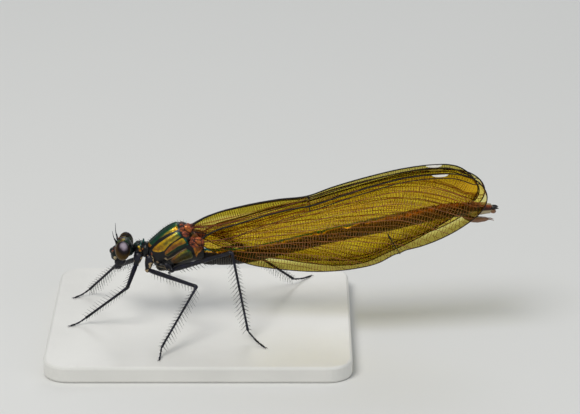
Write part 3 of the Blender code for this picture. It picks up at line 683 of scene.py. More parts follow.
def abdomen_material():
    """A teal back, a gold band that is a painted highlight of the metallic sheen, and dark sides
    that turn copper towards the tail.
    """
    material, tree, shader, place = new_material("abdomen_cuticle", Coat_Weight=0.06,
                                                 Coat_Roughness=0.2, Specular_IOR_Level=0.22)
    wave = noise_value(tree, place, 0.9, 4.0)
    shift = waved(tree, wave, -0.07, 0.07)
    around = added(tree, mark_value(tree, "around"), shift)
    # The gold stop is a painted highlight: the metallic sheen along the upper side of the abdomen.
    front = ramp_colour(tree, around, (
        (0.0, (0.015, 0.2, 0.26)), (0.11, (0.015, 0.2, 0.22)), (0.15, (0.75, 0.5, 0.025)),
        (0.2, (0.22, 0.09, 0.012)), (0.24, (0.008, 0.005, 0.004)), (0.8, (0.004, 0.003, 0.003)),
        (1.0, (0.02, 0.017, 0.014))))
    rear = ramp_colour(tree, around, (
        (0.0, (0.08, 0.03, 0.022)), (0.08, (0.36, 0.1, 0.042)), (0.2, (0.32, 0.075, 0.03)),
        (0.34, (0.05, 0.014, 0.009)), (0.6, (0.01, 0.006, 0.005)), (1.0, (0.1, 0.07, 0.045))))
    streaks = between(tree, noise_value(tree, place, 3.2), 0.5, 0.62, 0.0, 0.75)
    rear = mixed(tree, streaks, rear, (0.03, 0.01, 0.008))
    turn = added(tree, between(tree, mark_value(tree, "along"), 0.52, 0.72), shift)
    skin = mixed(tree, turn, front, rear)
    across = add_node(tree, "ShaderNodeSeparateXYZ", {"Vector": place}).outputs["X"]
    ripple = maths(tree, "SINE", times(tree, across, FULL_TURN / RIB_PITCH))
    ribs = times(tree, between(tree, ripple, 0.2, 0.8), mark_value(tree, "belly"))
    skin = mixed(tree, ribs, skin, (0.07, 0.064, 0.055))
    skin = mixed(tree, mark_value(tree, "pale"), skin, (0.52, 0.42, 0.26))
    skin = mixed(tree, mark_value(tree, "seam"), skin, bpy.context.scene.damselfly_body.black)
    join_up(tree, shader, Base_Color=skin, Metallic=between(tree, around, 0.18, 0.28, 0.7, 0.0),
            Roughness=waved(tree, wave, 0.32, 0.5),
            Normal=bumped(tree, noise_value(tree, place, 16.0, 2.0), 0.02))
    return material


def chitin_material(name, tint, gloss):
    """Hard black cuticle with a faint coloured sheen, a fine grain and beige flecks."""
    material, tree, shader, place = new_material(name, Coat_Weight=0.1, Coat_Roughness=gloss,
                                                 Specular_IOR_Level=0.3)
    black = bpy.context.scene.damselfly_body.black
    grain = noise_value(tree, place, 20.0, 2.0)
    dark = mixed(tree, between(tree, noise_value(tree, place, 1.8), 0.35, 0.7), black, tint)
    fleck = between(tree, noise_value(tree, place, 1.7, 1.0), 0.575, 0.63)
    beige = mixed(tree, noise_value(tree, place, 6.0, 2.0), (0.6, 0.48, 0.28), (0.2, 0.1, 0.04))
    shown = times(tree, fleck, mark_value(tree, "flecked"))
    join_up(tree, shader, Base_Color=mixed(tree, shown, dark, beige),
            Roughness=waved(tree, grain, 0.3, 0.5), Normal=bumped(tree, grain, 0.012))
    return material


def eye_material():
    """Compound eye, finely faceted: olive and brown below a black rim, and a lilac-grey painted
    highlight on the upper outer side, a reflection of the sky.
    """
    material, tree, shader, place = new_material(
        "compound_eye", Roughness=0.35, Specular_IOR_Level=0.08, Coat_Weight=0.03,
        Coat_Roughness=0.12)
    wave = noise_value(tree, place, 1.2, 2.0)
    # The level rises towards the painted highlight, a painted reflection of the sky on the eye's
    # upper outer side.
    level = added(tree, mark_value(tree, "cap"), waved(tree, wave, -0.02, 0.02))
    eye = tuple(bpy.context.scene.damselfly_body.eye)
    # The stops from 0.9 up paint the lilac-grey highlight.
    base = ramp_colour(tree, level, (
        (0.0, scaled(eye, (1.5, 2.3, 1.8))), (0.35, eye), (0.66, scaled(eye, 0.7)),
        (0.83, (0.012, 0.007, 0.007)), (0.9, (0.02, 0.015, 0.019)), (0.945, (0.15, 0.12, 0.15)),
        (1.0, (0.34, 0.29, 0.34))))
    cells = add_node(tree, "ShaderNodeTexVoronoi",
                     {"Vector": place, "Scale": 15000.0, "Randomness": 0.15}).outputs["Distance"]
    join_up(tree, shader, Normal=bumped(tree, cells, 0.012, 0.5),
            Base_Color=mixed(tree, mark_value(tree, "inner"), base, (0.012, 0.01, 0.008)))
    return material


def membrane_material():
    """Thin golden brown film that colours the light it lets through, browner in blotches."""
    wings = bpy.context.scene.damselfly_wings
    material, tree, shader, place = new_material("wing_membrane", IOR=1.5)
    blotch = noise_value(tree, place, 0.3)
    stripe = between(tree, mark_value(tree, "pleat"), -1.0, 1.0, -0.35, 0.35)
    share = added(tree, between(tree, blotch, 0.35, 0.65, 0.1, 0.9), stripe)
    amber, deeper, russet = (scaled(wings.filtered, factors) for factors in (
        (1.0, 0.985, 0.97), (0.975, 0.955, 0.85), (1.0, 0.952, 0.9)))
    warm = mark_value(tree, "warm")
    let_through = mixed(tree, share, mixed(tree, warm, wings.filtered, amber),
                        mixed(tree, warm, deeper, russet))
    rim = mark_value(tree, "rim")
    for level, factors in enumerate(RIM_FACTORS):
        let_through = mixed(tree, between(tree, rim, level, level + 1.0), let_through,
                            scaled(wings.filtered, factors))
    through = add_node(tree, "ShaderNodeBsdfTransparent", {"Color": let_through})
    film = add_node(tree, "ShaderNodeMixShader",
                    {0: wings.opacity, 1: through.outputs[0], 2: shader.outputs[0]})
    join_up(tree, shader,
            Base_Color=mixed(tree, share, wings.membrane, scaled(wings.membrane, (0.8, 0.62, 0.5))),
            Roughness=waved(tree, blotch, 0.2, 0.36),
            Normal=bumped(tree, noise_value(tree, place, 3.5), 0.05, 0.5))
    tree.links.new(film.outputs[0], tree.nodes["Material Output"].inputs["Surface"])
    return material


def vein_material():
    """Veins: black where tone is 0, red-brown at 1 and tan from 1.5; the tan is partly the fine
    veins' paler colour and partly painted reflection on them.
    """
    tint = tuple(bpy.context.scene.damselfly_wings.veins)
    material, tree, shader, place = new_material("wing_veins", Specular_IOR_Level=0.25)
    wave = noise_value(tree, place, 1.2, 2.0)
    brown = mixed(tree, between(tree, wave, 0.35, 0.65), tint, scaled(tint, 0.45))
    tone = mark_value(tree, "tone")
    rusty = mixed(tree, between(tree, tone, 0.0, 1.0), (0.008, 0.006, 0.006), brown)
    join_up(tree, shader, Roughness=waved(tree, wave, 0.42, 0.56),
            # Tan stands partly for the paler fine veins and partly for painted reflections on them.
            Base_Color=mixed(tree, between(tree, tone, 1.0, 1.5), rusty, (0.36, 0.19, 0.13)))
    return material


def spot_material():
    """The matt white of the wing spots."""
    material, tree, shader, place = new_material("wing_spot", Roughness=0.5)
    wave = noise_value(tree, place, 6.0)
    tint = bpy.context.scene.damselfly_wings.spot
    join_up(tree, shader, Base_Color=mixed(tree, wave, tint, (0.7, 0.66, 0.58)),
            Normal=bumped(tree, wave, 0.02))
    return material


def copper_material():
    """Copper-brown valves at the end of the abdomen."""
    material, tree, shader, place = new_material("copper_valves", Coat_Weight=0.3,
                                                 Coat_Roughness=0.2)
    wave = noise_value(tree, place, 2.5)
    join_up(tree, shader, Base_Color=mixed(tree, wave, (0.05, 0.016, 0.01), (0.3, 0.14, 0.06)),
            Roughness=waved(tree, wave, 0.28, 0.45),
            Normal=bumped(tree, noise_value(tree, place, 18.0, 2.0), 0.012))
    return material


def acrylic_material():
    """Pale satin acrylic with a faint mottle and a fine grain."""
    tint = tuple(bpy.context.scene.damselfly_stage.base)
    material, tree, shader, place = new_material("pale_acrylic_base", Coat_Weight=0.2,
                                                 Coat_Roughness=0.25)
    mottle = between(tree, noise_value(tree, place, 0.12, 4.0), 0.35, 0.65)
    fine = noise_value(tree, place, 4.0)
    join_up(tree, shader, Base_Color=mixed(tree, mottle, tint, scaled(tint, 0.94)),
            Roughness=waved(tree, fine, 0.3, 0.42), Normal=bumped(tree, fine, 0.01, 0.3))
    return material


def floor_material():
    """The matt floor, very faintly mottled."""
    tint = tuple(bpy.context.scene.damselfly_stage.floor)
    material, tree, shader, place = new_material("pale_floor", Roughness=0.8)
    join_up(tree, shader,
            Base_Color=mixed(tree, noise_value(tree, place, 0.01), tint, scaled(tint, 0.97)))
    return material


# Geometry node trees

def new_tree(name, sizes):
    """A geometry node tree with named sizes as inputs, and its chains of edges as curves."""
    tree = bpy.data.node_groups.new(name, "GeometryNodeTree")
    tree.interface.new_socket("Geometry", in_out="INPUT", socket_type="NodeSocketGeometry")
    tree.interface.new_socket("Geometry", in_out="OUTPUT", socket_type="NodeSocketGeometry")
    for label, kind in sizes:
        tree.interface.new_socket(label, in_out="INPUT", socket_type="NodeSocket" + kind)
    source = tree.nodes.new("NodeGroupInput")
    lines = add_node(tree, "GeometryNodeMeshToCurve", {"Mesh": source.outputs["Geometry"]})
    return tree, source, lines.outputs[0]


def end_tree(tree, geometry, material):
    """Ends a tree in real mesh with its material."""
    real = add_node(tree, "GeometryNodeRealizeInstances", {"Geometry": geometry})
    dressed = add_node(tree, "GeometryNodeSetMaterial",
                       {"Geometry": real.outputs[0], "Material": material})
    tree.links.new(dressed.outputs[0], tree.nodes.new("NodeGroupOutput").inputs[0])
    return tree


def kept_value(tree, name, kind="FLOAT"):
    """A value kept at the points of the mesh that a tree starts from."""
    return add_node(tree, "GeometryNodeInputNamedAttribute", {"Name": name},
                    data_type=kind).outputs["Attribute"]


def tube_tree(name, material):
    """Turns chains of edges into tubes whose radius is kept at their points as girth."""
    tree, source, lines = new_tree(name, (("Sides", "Int"), ("Thickness", "Float")))
    ring = add_node(tree, "GeometryNodeCurvePrimitiveCircle",
                    {"Resolution": source.outputs["Sides"],
                     "Radius": source.outputs["Thickness"]})
    tubes = add_node(tree, "GeometryNodeCurveToMesh",
                     {"Curve": lines, "Profile Curve": ring.outputs[0],
                      "Scale": kept_value(tree, "girth"), "Fill Caps": True})
    return end_tree(tree, tubes.outputs[0], material)


def bristle_tree(name, material):
    """Sets tapered bristles along chains of edges, leaning the way kept at their points."""
    tree, source, lines = new_tree(name, (("Spacing", "Float"), ("Length", "Float"),
                                          ("Radius", "Float"), ("Seed", "Int")))
    seed, radius = source.outputs["Seed"], source.outputs["Radius"]
    roots = add_node(tree, "GeometryNodeResampleCurve",
                     {"Curve": lines, "Length": source.outputs["Spacing"]}, mode="LENGTH")
    cone = add_node(tree, "GeometryNodeMeshCone",
                    {"Vertices": 3, "Side Segments": 1, "Radius Top": 0.4,
                     "Radius Bottom": 1.0, "Depth": 1.0}, fill_type="NGON")
    stray = add_node(tree, "FunctionNodeRandomValue",
                     {"Min": (-STRAY,) * 3, "Max": (STRAY,) * 3, "Seed": seed},
                     data_type="FLOAT_VECTOR")
    way = add_node(tree, "ShaderNodeVectorMath",
                   {0: kept_value(tree, "lean", "FLOAT_VECTOR"), 1: stray.outputs[0]},
                   operation="ADD")
    turn = add_node(tree, "FunctionNodeAlignRotationToVector", {"Vector": way.outputs[0]},
                    axis="Z")
    vary = add_node(tree, "FunctionNodeRandomValue",
                    {2: SHORTEST_SHARE, 3: LONGEST_SHARE, "Seed": seed}, data_type="FLOAT")
    tall = times(tree, kept_value(tree, "reach"), vary.outputs[1])
    tall = times(tree, tall, source.outputs["Length"])
    size = add_node(tree, "ShaderNodeCombineXYZ", {0: radius, 1: radius, 2: tall})
    set_out = add_node(tree, "GeometryNodeInstanceOnPoints",
                       {"Points": roots.outputs[0], "Instance": cone.outputs[0],
                        "Rotation": turn.outputs[0], "Scale": size.outputs[0]})
    return end_tree(tree, set_out.outputs[0], material)


def grown(name, chains, tree, sizes):
    """Runs a tree on chains of points with kept values, and returns a plain mesh object."""
    points, edges = [], []
    kept = {key: [] for key in chains[0] if key != "path"}
    for chain in chains:
        path = np.asarray(chain["path"], dtype=float)
        base = len(points)
        points += (path * MM).tolist()
        edges += [(base + step, base + step + 1) for step in range(len(path) - 1)]
        for key in kept:
            wide = (len(path), 3) if key == "lean" else (len(path),)
            kept[key].append(np.broadcast_to(np.asarray(chain[key], dtype=float), wide))
    mesh = bpy.data.meshes.new(name + "_lines")
    mesh.from_pydata(points, edges, [])
    for key, values in kept.items():
        vector = key == "lean"
        layer = mesh.attributes.new(key, "FLOAT_VECTOR" if vector else "FLOAT", "POINT")
        flat = np.concatenate(values).astype(np.float32).ravel()
        layer.data.foreach_set("vector" if vector else "value", flat)
    holder = new_object(name + "_lines", mesh)
    grow = holder.modifiers.new("grow", "NODES")
    grow.node_group = tree
    for item in tree.interface.items_tree:
        if item.in_out == "INPUT" and item.name in sizes:
            grow[item.identifier] = sizes[item.name]
    depsgraph = bpy.context.evaluated_depsgraph_get()
    made = bpy.data.meshes.new_from_object(holder.evaluated_get(depsgraph))
    bpy.data.objects.remove(holder)
    bpy.data.meshes.remove(mesh)
    if not len(made.polygons):
        raise RuntimeError("the tree of %s made no faces" % name)
    made.name = name
    made.shade_smooth()
    return new_object(name, made)


# Wings

def sheet_out(x, z):
    """How far the forewing's sheet is from the middle plane: the two sides lean like a tent."""
    back, up = x - FORE_ROOT[0], z - FORE_ROOT[1]
    share = (back * math.cos(WING_PITCH) + up * math.sin(WING_PITCH)) / WING_LENGTH
    below = back * math.sin(WING_PITCH) - up * math.cos(WING_PITCH)
    crest = CREST_ROOT_OUT + (CREST_TIP_OUT - CREST_ROOT_OUT) * share
    flare = FLARE_ROOT + (FLARE_TIP - FLARE_ROOT) * share
    return crest + flare * (below + WING_CREST)


def wing_places(wing, along, below, lift):
    """Points of a wing's sheet; lift moves them away from the body."""
    root, side = wing["root"], wing["side"]
    x = root[0] + along * math.cos(WING_PITCH) + below * math.sin(WING_PITCH)
    z = root[1] + along * math.sin(WING_PITCH) - below * math.cos(WING_PITCH)
    out = side * (sheet_out(x, z) + wing["outside"] + lift + crease_lift(wing, along, below))
    if side > 0.0:
        z = z - RIGHT_WING_DROP
        if wing["name"] == "right_forewing":
            x = x + RIGHT_FORE_BACK * along / WING_LENGTH
            z = z - RIGHT_FORE_DROP * along / WING_LENGTH
    return np.stack((x, out, z), axis=-1)


def crease_lift(wing, along, below):
    """The fold across the rear of the left hind wing."""
    if wing["name"] != "left_hindwing":
        return 0.0
    start, end = np.array(CREASE_START), np.array(CREASE_END)
    way = unit(end - start)
    offset = np.stack((along - start[0], below - start[1]), axis=-1)
    down = offset @ way
    across = offset @ np.array((way[1], -way[0]))
    ridge = np.clip(1.0 - np.abs(across) / CREASE_HALF, 0.0, 1.0)
    return CREASE_HEIGHT * ridge * soft_step(-0.4, 1.2, down)


def margins(wing, shares):
    """The front and rear margins of a wing, which meet in one smooth curve round the tip."""
    outline = np.array(wing["leading"] + wing["trailing"][-2::-1])
    steps = np.linalg.norm(np.diff(outline, axis=0), axis=1)
    tip = steps[:len(wing["leading"]) - 1].sum() / steps.sum()
    shares = np.asarray(shares)
    return smooth_path(outline, shares * tip), smooth_path(outline, 1.0 - shares * (1.0 - tip))


def radius_depth(wing, shares):
    """Where the radius vein crosses the chord, from 0 at the front margin to 1 at the rear."""
    front, rear = margins(wing, shares)
    line = smooth_path(wing["radius"], even(120))
    span = np.maximum(rear[:, 1] - front[:, 1], 0.05)
    depth = np.full(len(shares), 0.1)
    for _ in range(4):
        along = front[:, 0] + (rear[:, 0] - front[:, 0]) * depth
        depth = np.clip((np.interp(along, line[:, 0], line[:, 1]) - front[:, 1]) / span, 0.02, 0.6)
    return depth


def share_at(wing, along):
    """The share of the wing's length whose front margin lies this far along."""
    shares = even(200)
    return float(np.interp(along, margins(wing, shares)[0][:, 0], shares))


def vein_end(spread):
    """Where along the wing a long vein meets the rear margin."""
    return 1.0 - 0.75 * spread ** 1.3


def sweep(spread, shares):
    """A long vein keeps to its share of the chord and then bends down to the rear margin."""
    power = 3.0 + 7.0 * (1.0 - spread) ** 2
    reach = np.clip(shares / vein_end(spread), 0.0, 1.0)
    return spread + (1.0 - spread) * reach ** power


def vein_depth(wing, spread, shares):
    """Where a long vein crosses the chord, as a share of it."""
    first = radius_depth(wing, shares)
    return first + (1.0 - first) * sweep(spread, shares) ** (1.25 - 0.5 * shares)


def pleat(spread, shares):
    """The sheet is pleated between the long veins, and flat at the root."""
    return np.cos(FULL_TURN * PLEAT_COUNT * spread) * soft_step(0.0, 0.15, shares)


def chord_points(wing, shares, depths, spreads):
    """Points of the pleated sheet at shares of the length and depths of the chord."""
    front, rear = margins(wing, shares)
    depths = np.asarray(depths)
    flat = front + (rear - front) * depths[:, None]
    edge = soft_step(0.0, 0.06, depths) * soft_step(0.0, 0.06, 1.0 - depths)
    lift = PLEAT_HEIGHT * pleat(spreads, shares) * edge
    return wing_places(wing, flat[:, 0], flat[:, 1], lift)


def vein_line(wing, spread, start, end, count, depth=None):
    """A vein from one share of the length to another, on its spread or at a depth of the chord."""
    shares = np.linspace(start, end, count)
    depths = vein_depth(wing, spread, shares) if depth is None else depth(shares)
    points = chord_points(wing, shares, depths, np.full(count, spread))
    return {"spread": spread, "start": start, "end": end, "shares": shares, "points": points}


def first_wide_share(upper, lower):
    """Where the gap between two long veins first grows too wide for one row of cells."""
    low, high = max(upper["start"], lower["start"]) + 0.03, min(upper["end"], lower["end"])
    inside = (upper["shares"] > low) & (upper["shares"] < high - 0.06)
    for share, point in zip(upper["shares"][inside], upper["points"][inside]):
        gap = np.linalg.norm(lower["points"] - point, axis=1).min()
        if gap > WIDEST_GAP:
            return float(share)
    return None


def long_veins(wing):
    """The main veins and, between them, the shorter ones that fill the widening sheet."""
    veins = [vein_line(wing, spread, start, vein_end(spread), 90)
             for spread, start in MAIN_VEINS]
    radius = vein_line(wing, 0.0, 0.0, 0.955, 120, lambda shares: radius_depth(wing, shares))
    margin = vein_line(wing, 1.0, 0.0, 1.0, 160, np.ones_like)
    for _ in range(4):
        rows = [radius] + veins + [margin]
        added = []
        for upper, lower in zip(rows, rows[1:]):
            start = first_wide_share(upper, lower)
            spread = (upper["spread"] + lower["spread"]) / 2.0
            if start is not None and vein_end(spread) - start > 0.05:
                late = vein_line(wing, spread, start, vein_end(spread), 90)
                added.append({**late, "late": True})
        veins = sorted(veins + added, key=lambda vein: vein["spread"])
    return radius, veins, margin


def closest(line, point):
    """The point of a line nearest to a given point, and how far away it is."""
    gaps = np.linalg.norm(line["points"] - point, axis=1)
    number = int(gaps.argmin())
    return line["points"][number], float(gaps[number])


def below_line(lines, order, share):
    """The next line towards the rear margin that reaches this far along the wing."""
    for line in lines[order + 1:]:
        if line["start"] <= share <= line["end"]:
            return line
    return lines[-1]


def chain_of(path, girth, tone):
    """A vein as points with the radius and the tone kept at each."""
    return {"path": path, "girth": girth, "tone": tone}


def cross_veins(lines, sizes, seed):
    """Fine veins that tie each long vein to the next one behind it."""
    draw = random.Random(seed)
    chains = []
    for order, line in enumerate(lines[:-1]):
        steps = np.linalg.norm(np.diff(line["points"], axis=0), axis=1)
        lengths = np.concatenate([[0.0], np.cumsum(steps)])
        place = sizes["spacing"] * (1.0 + 0.5 * draw.random())
        tall = order == 0
        while place < lengths[-1] - 0.1:
            point = np.array([np.interp(place, lengths, line["points"][:, axis])
                              for axis in range(3)])
            share = float(np.interp(place, lengths, line["shares"]))
            end, gap = closest(below_line(lines, order, share), point)
            outer = tall or closest(lines[-1], point)[1] < NET_MARGIN
            # Tones above 1 make the fine veins tan, partly their paler colour and partly painted
            # reflection.
            if 0.07 < gap < 2.4:
                chains.append(chain_of((point, end), sizes["cross"] * (1.4 if outer else 1.0),
                                       0.8 if outer else 1.2 if order < 3 else 1.4))
            place += sizes["spacing"] * (0.9 + 0.2 * draw.random()) * (0.8 if tall else 1.0)
    return chains


def fork(rows, order):
    """The short branch by which a late vein hangs between the veins beside it."""
    vein = rows[order]
    start = vein["points"][0]
    above = [row for row in rows[1:] if row["spread"] < vein["spread"]
             and row["start"] < vein["start"]][-1]
    below = below_line(rows, order, vein["start"])
    return closest(above, start)[0], start, closest(below, start)[0]


def vein_chains(wing, sizes, seed):
    """All veins of one wing as chains of points with their radius and tone."""
    radius, veins, margin = long_veins(wing)
    broad = sizes["long"]
    node = share_at(wing, wing["node"])
    costa = vein_line(wing, 0.0, 0.0, 1.0, 170, lambda shares: np.full(len(shares), 0.006))
    sub = vein_line(wing, 0.0, 0.0, node, 60,
                    lambda shares: radius_depth(wing, shares) * 0.66
                    * (1.0 - soft_step(node - 0.02, node, shares)))
    rows = [costa, radius] + veins + [margin]
    thick = np.interp(costa["shares"], (0.0, 0.1, 0.38, 0.44, 1.0), (1.3, 1.05, 0.95, 0.85, 0.75))
    edge = np.interp(margin["shares"], (0.0, 0.2, 1.0), (1.3, 1.2, 1.5))
    bold = np.interp(radius["shares"], (0.0, 0.15, 0.38, 0.44, 1.0), (1.4, 1.25, 1.2, 1.5, 1.3))
    blacker = np.interp(radius["shares"], (0.0, 0.36, 0.42, 1.0), (0.6, 0.5, 0.05, 0.05))
    chains = [chain_of(costa["points"], sizes["costa"] * thick, 0.0),
              chain_of(margin["points"], broad * edge, 0.05),
              chain_of(radius["points"], broad * bold, blacker),
              chain_of(sub["points"], broad * 0.6, 1.0)]
    for number, vein in enumerate(veins):
        late = "late" in vein
        taper = np.interp(vein["shares"], (0.0, 0.12, 0.6, 1.0), (0.75, 0.9, 0.95, 0.8))
        girth = broad * taper * (0.5 if late else 1.0 - 0.35 * vein["spread"])
        chains.append(chain_of(vein["points"], girth, 1.25 if late else (0.85, 1.15)[number % 2]))
        if late:
            chains.append(chain_of(fork(rows, number + 2), sizes["cross"], 0.9))
    crossing = radius["points"][int(np.abs(radius["shares"] - node).argmin())]
    chains.append(chain_of((closest(costa, crossing)[0], crossing), broad * 1.8, 0.05))
    if wing["name"] == "left_hindwing":
        chains += crease_chains(wing, broad)
    return chains + cross_veins(rows, sizes, seed)


def crease_chains(wing, broad):
    """Dark lines where the left hind wing is folded, fanning out from the fold's upper end."""
    chains = []
    steps = even(14)
    for turn, girth in ((0.0, 1.5), (-0.28, 0.8), (0.2, 0.6)):
        end = (CREASE_END[0] + turn * 2.0, CREASE_END[1] - abs(turn) * 1.2)
        along = CREASE_START[0] + (end[0] - CREASE_START[0]) * steps
        below = CREASE_START[1] + (end[1] - CREASE_START[1]) * steps
        chains.append(chain_of(wing_places(wing, along, below, 0.03), broad * girth, 0.0))
    return chains


def spread_of(wing, shares, depths):
    """Which long vein runs through each point of a grid over the wing."""
    known = even(61)
    lines = np.array([vein_depth(wing, spread, shares) for spread in known])
    return np.array([np.interp(depths, lines[:, row], known) for row in range(len(shares))])


def doubled(outer, inner=None):
    """Rows that run over the outer face of a sheet and back over its inner face."""
    inner = outer if inner is None else inner
    return np.concatenate((outer, inner[:, ::-1]), axis=1)


def membrane_shell(wing, thickness):
    """The wing's sheet as a thin closed shell, with the marks that colour it.

    The rim tells how strongly the root, the front edge and the rear edge are darkened.
    """
    rows, columns = 150, 56
    shares = even(rows)
    depths = even(columns)
    spreads = spread_of(wing, shares, depths)
    middle = np.array([chord_points(wing, np.full(columns, share), depths, spreads[row])
                       for row, share in enumerate(shares)])
    normals = unit(np.cross(np.gradient(middle, axis=0), np.gradient(middle, axis=1)))
    normals[-1] = normals[-2]
    half = normals * thickness / 2.0
    hind = wing["name"].endswith("hindwing")
    left = wing["side"] < 0.0
    root = soft_step(0.16, 0.04, shares)[:, None] * (1.0 + 2.0 * left if hind else 0.3)
    front = soft_step(0.4, 0.45, shares)[:, None] * soft_step(0.2, 0.1, depths)[None]
    front = front * (0.6 if hind else 1.5 * left)
    rear = (1.9 if left else 0.4) * soft_step(0.78, 0.94, depths)[None]
    costal = 0.9 * soft_step(0.42, 0.38, shares)[:, None] * soft_step(0.2, 0.14, depths)[None]
    rim = np.maximum.reduce((root * np.ones(columns), front, costal, rear * np.ones((rows, 1))))
    warm = soft_step(0.7, 0.45, depths) if hind else soft_step(0.1, 0.3, depths)
    return ringed(doubled(middle + half, middle - half), rim=doubled(rim),
                  pleat=doubled(pleat(spreads, shares[:, None])), warm=doubled(warm[None]))


def spot_shell(wing, thickness):
    """The white mark between the front margin and the radius vein, pointed at both ends."""
    count = 22
    steps = np.linspace(-1.0, 1.0, count)
    low, high = (share_at(wing, wing["spot"] + way * SPOT_HALF) for way in (-1.0, 1.0))
    shares = low + (high - low) * (steps + 1.0) / 2.0
    deep = radius_depth(wing, shares)
    belly = np.sqrt(np.clip(1.0 - steps ** 2, 0.02, 1.0))
    bands = []
    for part in (0.0, 0.25, 0.5, 0.75, 1.0):
        depths = deep * (0.14 + part * wing["spot_deep"] * belly)
        bands.append(chord_points(wing, shares, depths, np.zeros(count)))
    middle = np.array(bands).transpose(1, 0, 2)
    shift = np.array((0.0, thickness * 0.5 + 0.03, 0.0))
    return ringed(doubled(middle + shift, middle - shift))


def wing_of(side, pair):
    """The numbers of one of the four wings, with its name and its side."""
    wing = FORE_WING if pair == "forewing" else HIND_WING
    return {**wing, "side": dict(SIDES)[side], "name": side + "_" + pair}


# Body skin

def body_rings(sections, count, sides):
    """Upright slices of the body, soft squares that narrow towards the underside."""
    along = smooth_path(sections, even(count))
    turns = turns_round(sides)
    across = np.sign(np.cos(turns)) * np.abs(np.cos(turns)) ** 0.85
    upward = np.sign(np.sin(turns)) * np.abs(np.sin(turns)) ** 0.92
    narrowing = 1.0 - 0.11 * (1.0 - upward)
    x = np.repeat(along[:, :1], sides, axis=1)
    y = along[:, 3:4] * (across * narrowing)[None]
    z = (along[:, 1:2] + along[:, 2:3]) / 2.0 + upward[None] * (along[:, 2:3] - along[:, 1:2]) / 2.0
    return np.stack((x, y, z), axis=-1)


def ring_normals(rings):
    """Directions out of a body's rings at each of their points."""
    around = np.roll(rings, -1, axis=1) - np.roll(rings, 1, axis=1)
    along = np.gradient(rings, axis=0)
    normals = unit(np.cross(around, along))
    centre = rings.mean(axis=1, keepdims=True)
    facing = np.sign(np.einsum("ijk,ijk->", normals, rings - centre))
    return normals * facing


def inside_distance(spots, outline):
    """How far each spot lies inside a closed outline, negative outside it."""
    start = np.array(outline)
    reach = np.roll(start, -1, axis=0) - start
    offset = spots[:, None, :] - start[None]
    share = np.clip((offset * reach).sum(axis=2) / (reach ** 2).sum(axis=1), 0.0, 1.0)
    gap = np.linalg.norm(offset - reach[None] * share[:, :, None], axis=2).min(axis=1)
    ahead = np.roll(start, -1, axis=0)
    crossed = (start[None, :, 1] > spots[:, None, 1]) != (ahead[None, :, 1] > spots[:, None, 1])
    rise = np.where(np.abs(reach[:, 1]) < 1e-9, 1e-9, reach[:, 1])
    cut = start[None, :, 0] + (spots[:, None, 1] - start[None, :, 1]) * reach[:, 0] / rise
    inside = (crossed & (spots[:, None, 0] < cut)).sum(axis=1) % 2 == 1
    return np.where(inside, gap, -gap)


def plated(rings, plates, relief):
    """Raises plates on rows of rings and keeps their hue and cover at each point; the cover also
    holds painted highlight and painted shade.
    """
    flat = rings.reshape(-1, 3)
    spots = flat[:, (0, 2)]
    rearwards_and_up = np.array((0.75, 0.66))
    slant = spots @ rearwards_and_up
    hue = np.full(len(flat), GREEN)
    cover = np.zeros(len(flat))
    deep = np.full(len(flat), -1.0)
    for low_hue, high_hue, (dim, bright), outline in plates:
        depth = inside_distance(spots, outline)
        corners = np.array(outline) @ rearwards_and_up
        share = np.clip((slant - corners.min()) / (corners.max() - corners.min()), 0.0, 1.0)
        painted = soft_step(0.0, 0.25, cover)
        over = soft_step(-0.11, 0.03, depth) * painted
        blend = (depth > -0.04) * (1.0 - painted) + over
        hue = hue + blend * (low_hue + (high_hue - low_hue) * share - hue)
        # Painted light: a plate brightens from its lower front to its upper rear as a painted
        # highlight, and its middle is darker than its edges as painted shade.
        shown = (dim + (bright - dim) * share) * (1.0 - 0.55 * soft_step(0.12, 0.4, depth))
        blend = soft_step(-0.03, 0.05, depth) * (1.0 - painted) + over
        cover = cover + blend * (shown - cover)
        deep = np.maximum(deep, depth)
    rise = relief * soft_step(-0.05, 0.28, deep) - relief * 0.5
    moved = flat + ring_normals(rings).reshape(-1, 3) * rise[:, None]
    shape = rings.shape[:2]
    return moved.reshape(rings.shape), hue.reshape(shape), cover.reshape(shape)


def thorax_shells(relief):
    """The thorax with its plates, the ridge along its back and the bulges of its hip joints."""
    rings = body_rings(THORAX_SECTIONS, 180, 236)
    rings, hue, cover = plated(rings, THORAX_PLATES, relief)
    middle = np.exp(-(rings[:, :, 1] / 0.07) ** 2) * (rings[:, :, 2] > 11.5)
    crest = middle * soft_step(-2.3, -3.0, rings[:, :, 0])
    rings[:, :, 2] += crest * 0.09
    cover = cover * (1.0 - 0.85 * crest)
    gap = soft_step(0.3, 0.5, np.abs(rings[:, :, 1]))
    wing_field = soft_step(-2.9, -2.6, rings[:, :, 0])
    cover = cover * (1.0 - (1.0 - gap) * wing_field * (rings[:, :, 2] > 12.5) * 0.8)
    shells = [ringed(rings, hue=hue, cover=cover)]
    for _, side in SIDES:
        bulge = ball((-4.5, 0.9 * side, 8.72), (0.78, 0.62, 0.56), 48, 34, hue=BEIGE)
        gaps = creased(bulge, 9, 0.14, 5)
        bulge["marks"]["cover"] = 0.4 * np.exp(-((gaps - 0.09) / 0.035) ** 2)
        shells.append(bulge)
    return shells


def creased(shell, scales, depth, seed):
    """Presses creases into a ball between a few scales; returns the distance to them."""
    draw = np.random.default_rng(seed)
    points = shell["points"]
    centre = points.mean(axis=0)
    half = (points - centre).max(axis=0)
    spots = centre + unit(draw.normal(size=(scales, 3))) * half
    reach = np.sort(np.linalg.norm(points[:, None] - spots[None], axis=2), axis=1)
    gaps = reach[:, 1] - reach[:, 0]
    rise = soft_step(0.0, 0.14, gaps) - 0.5 - 0.8 * reach[:, 0]
    shell["points"] = points + unit(points - centre) * rise[:, None] * depth
    return gaps


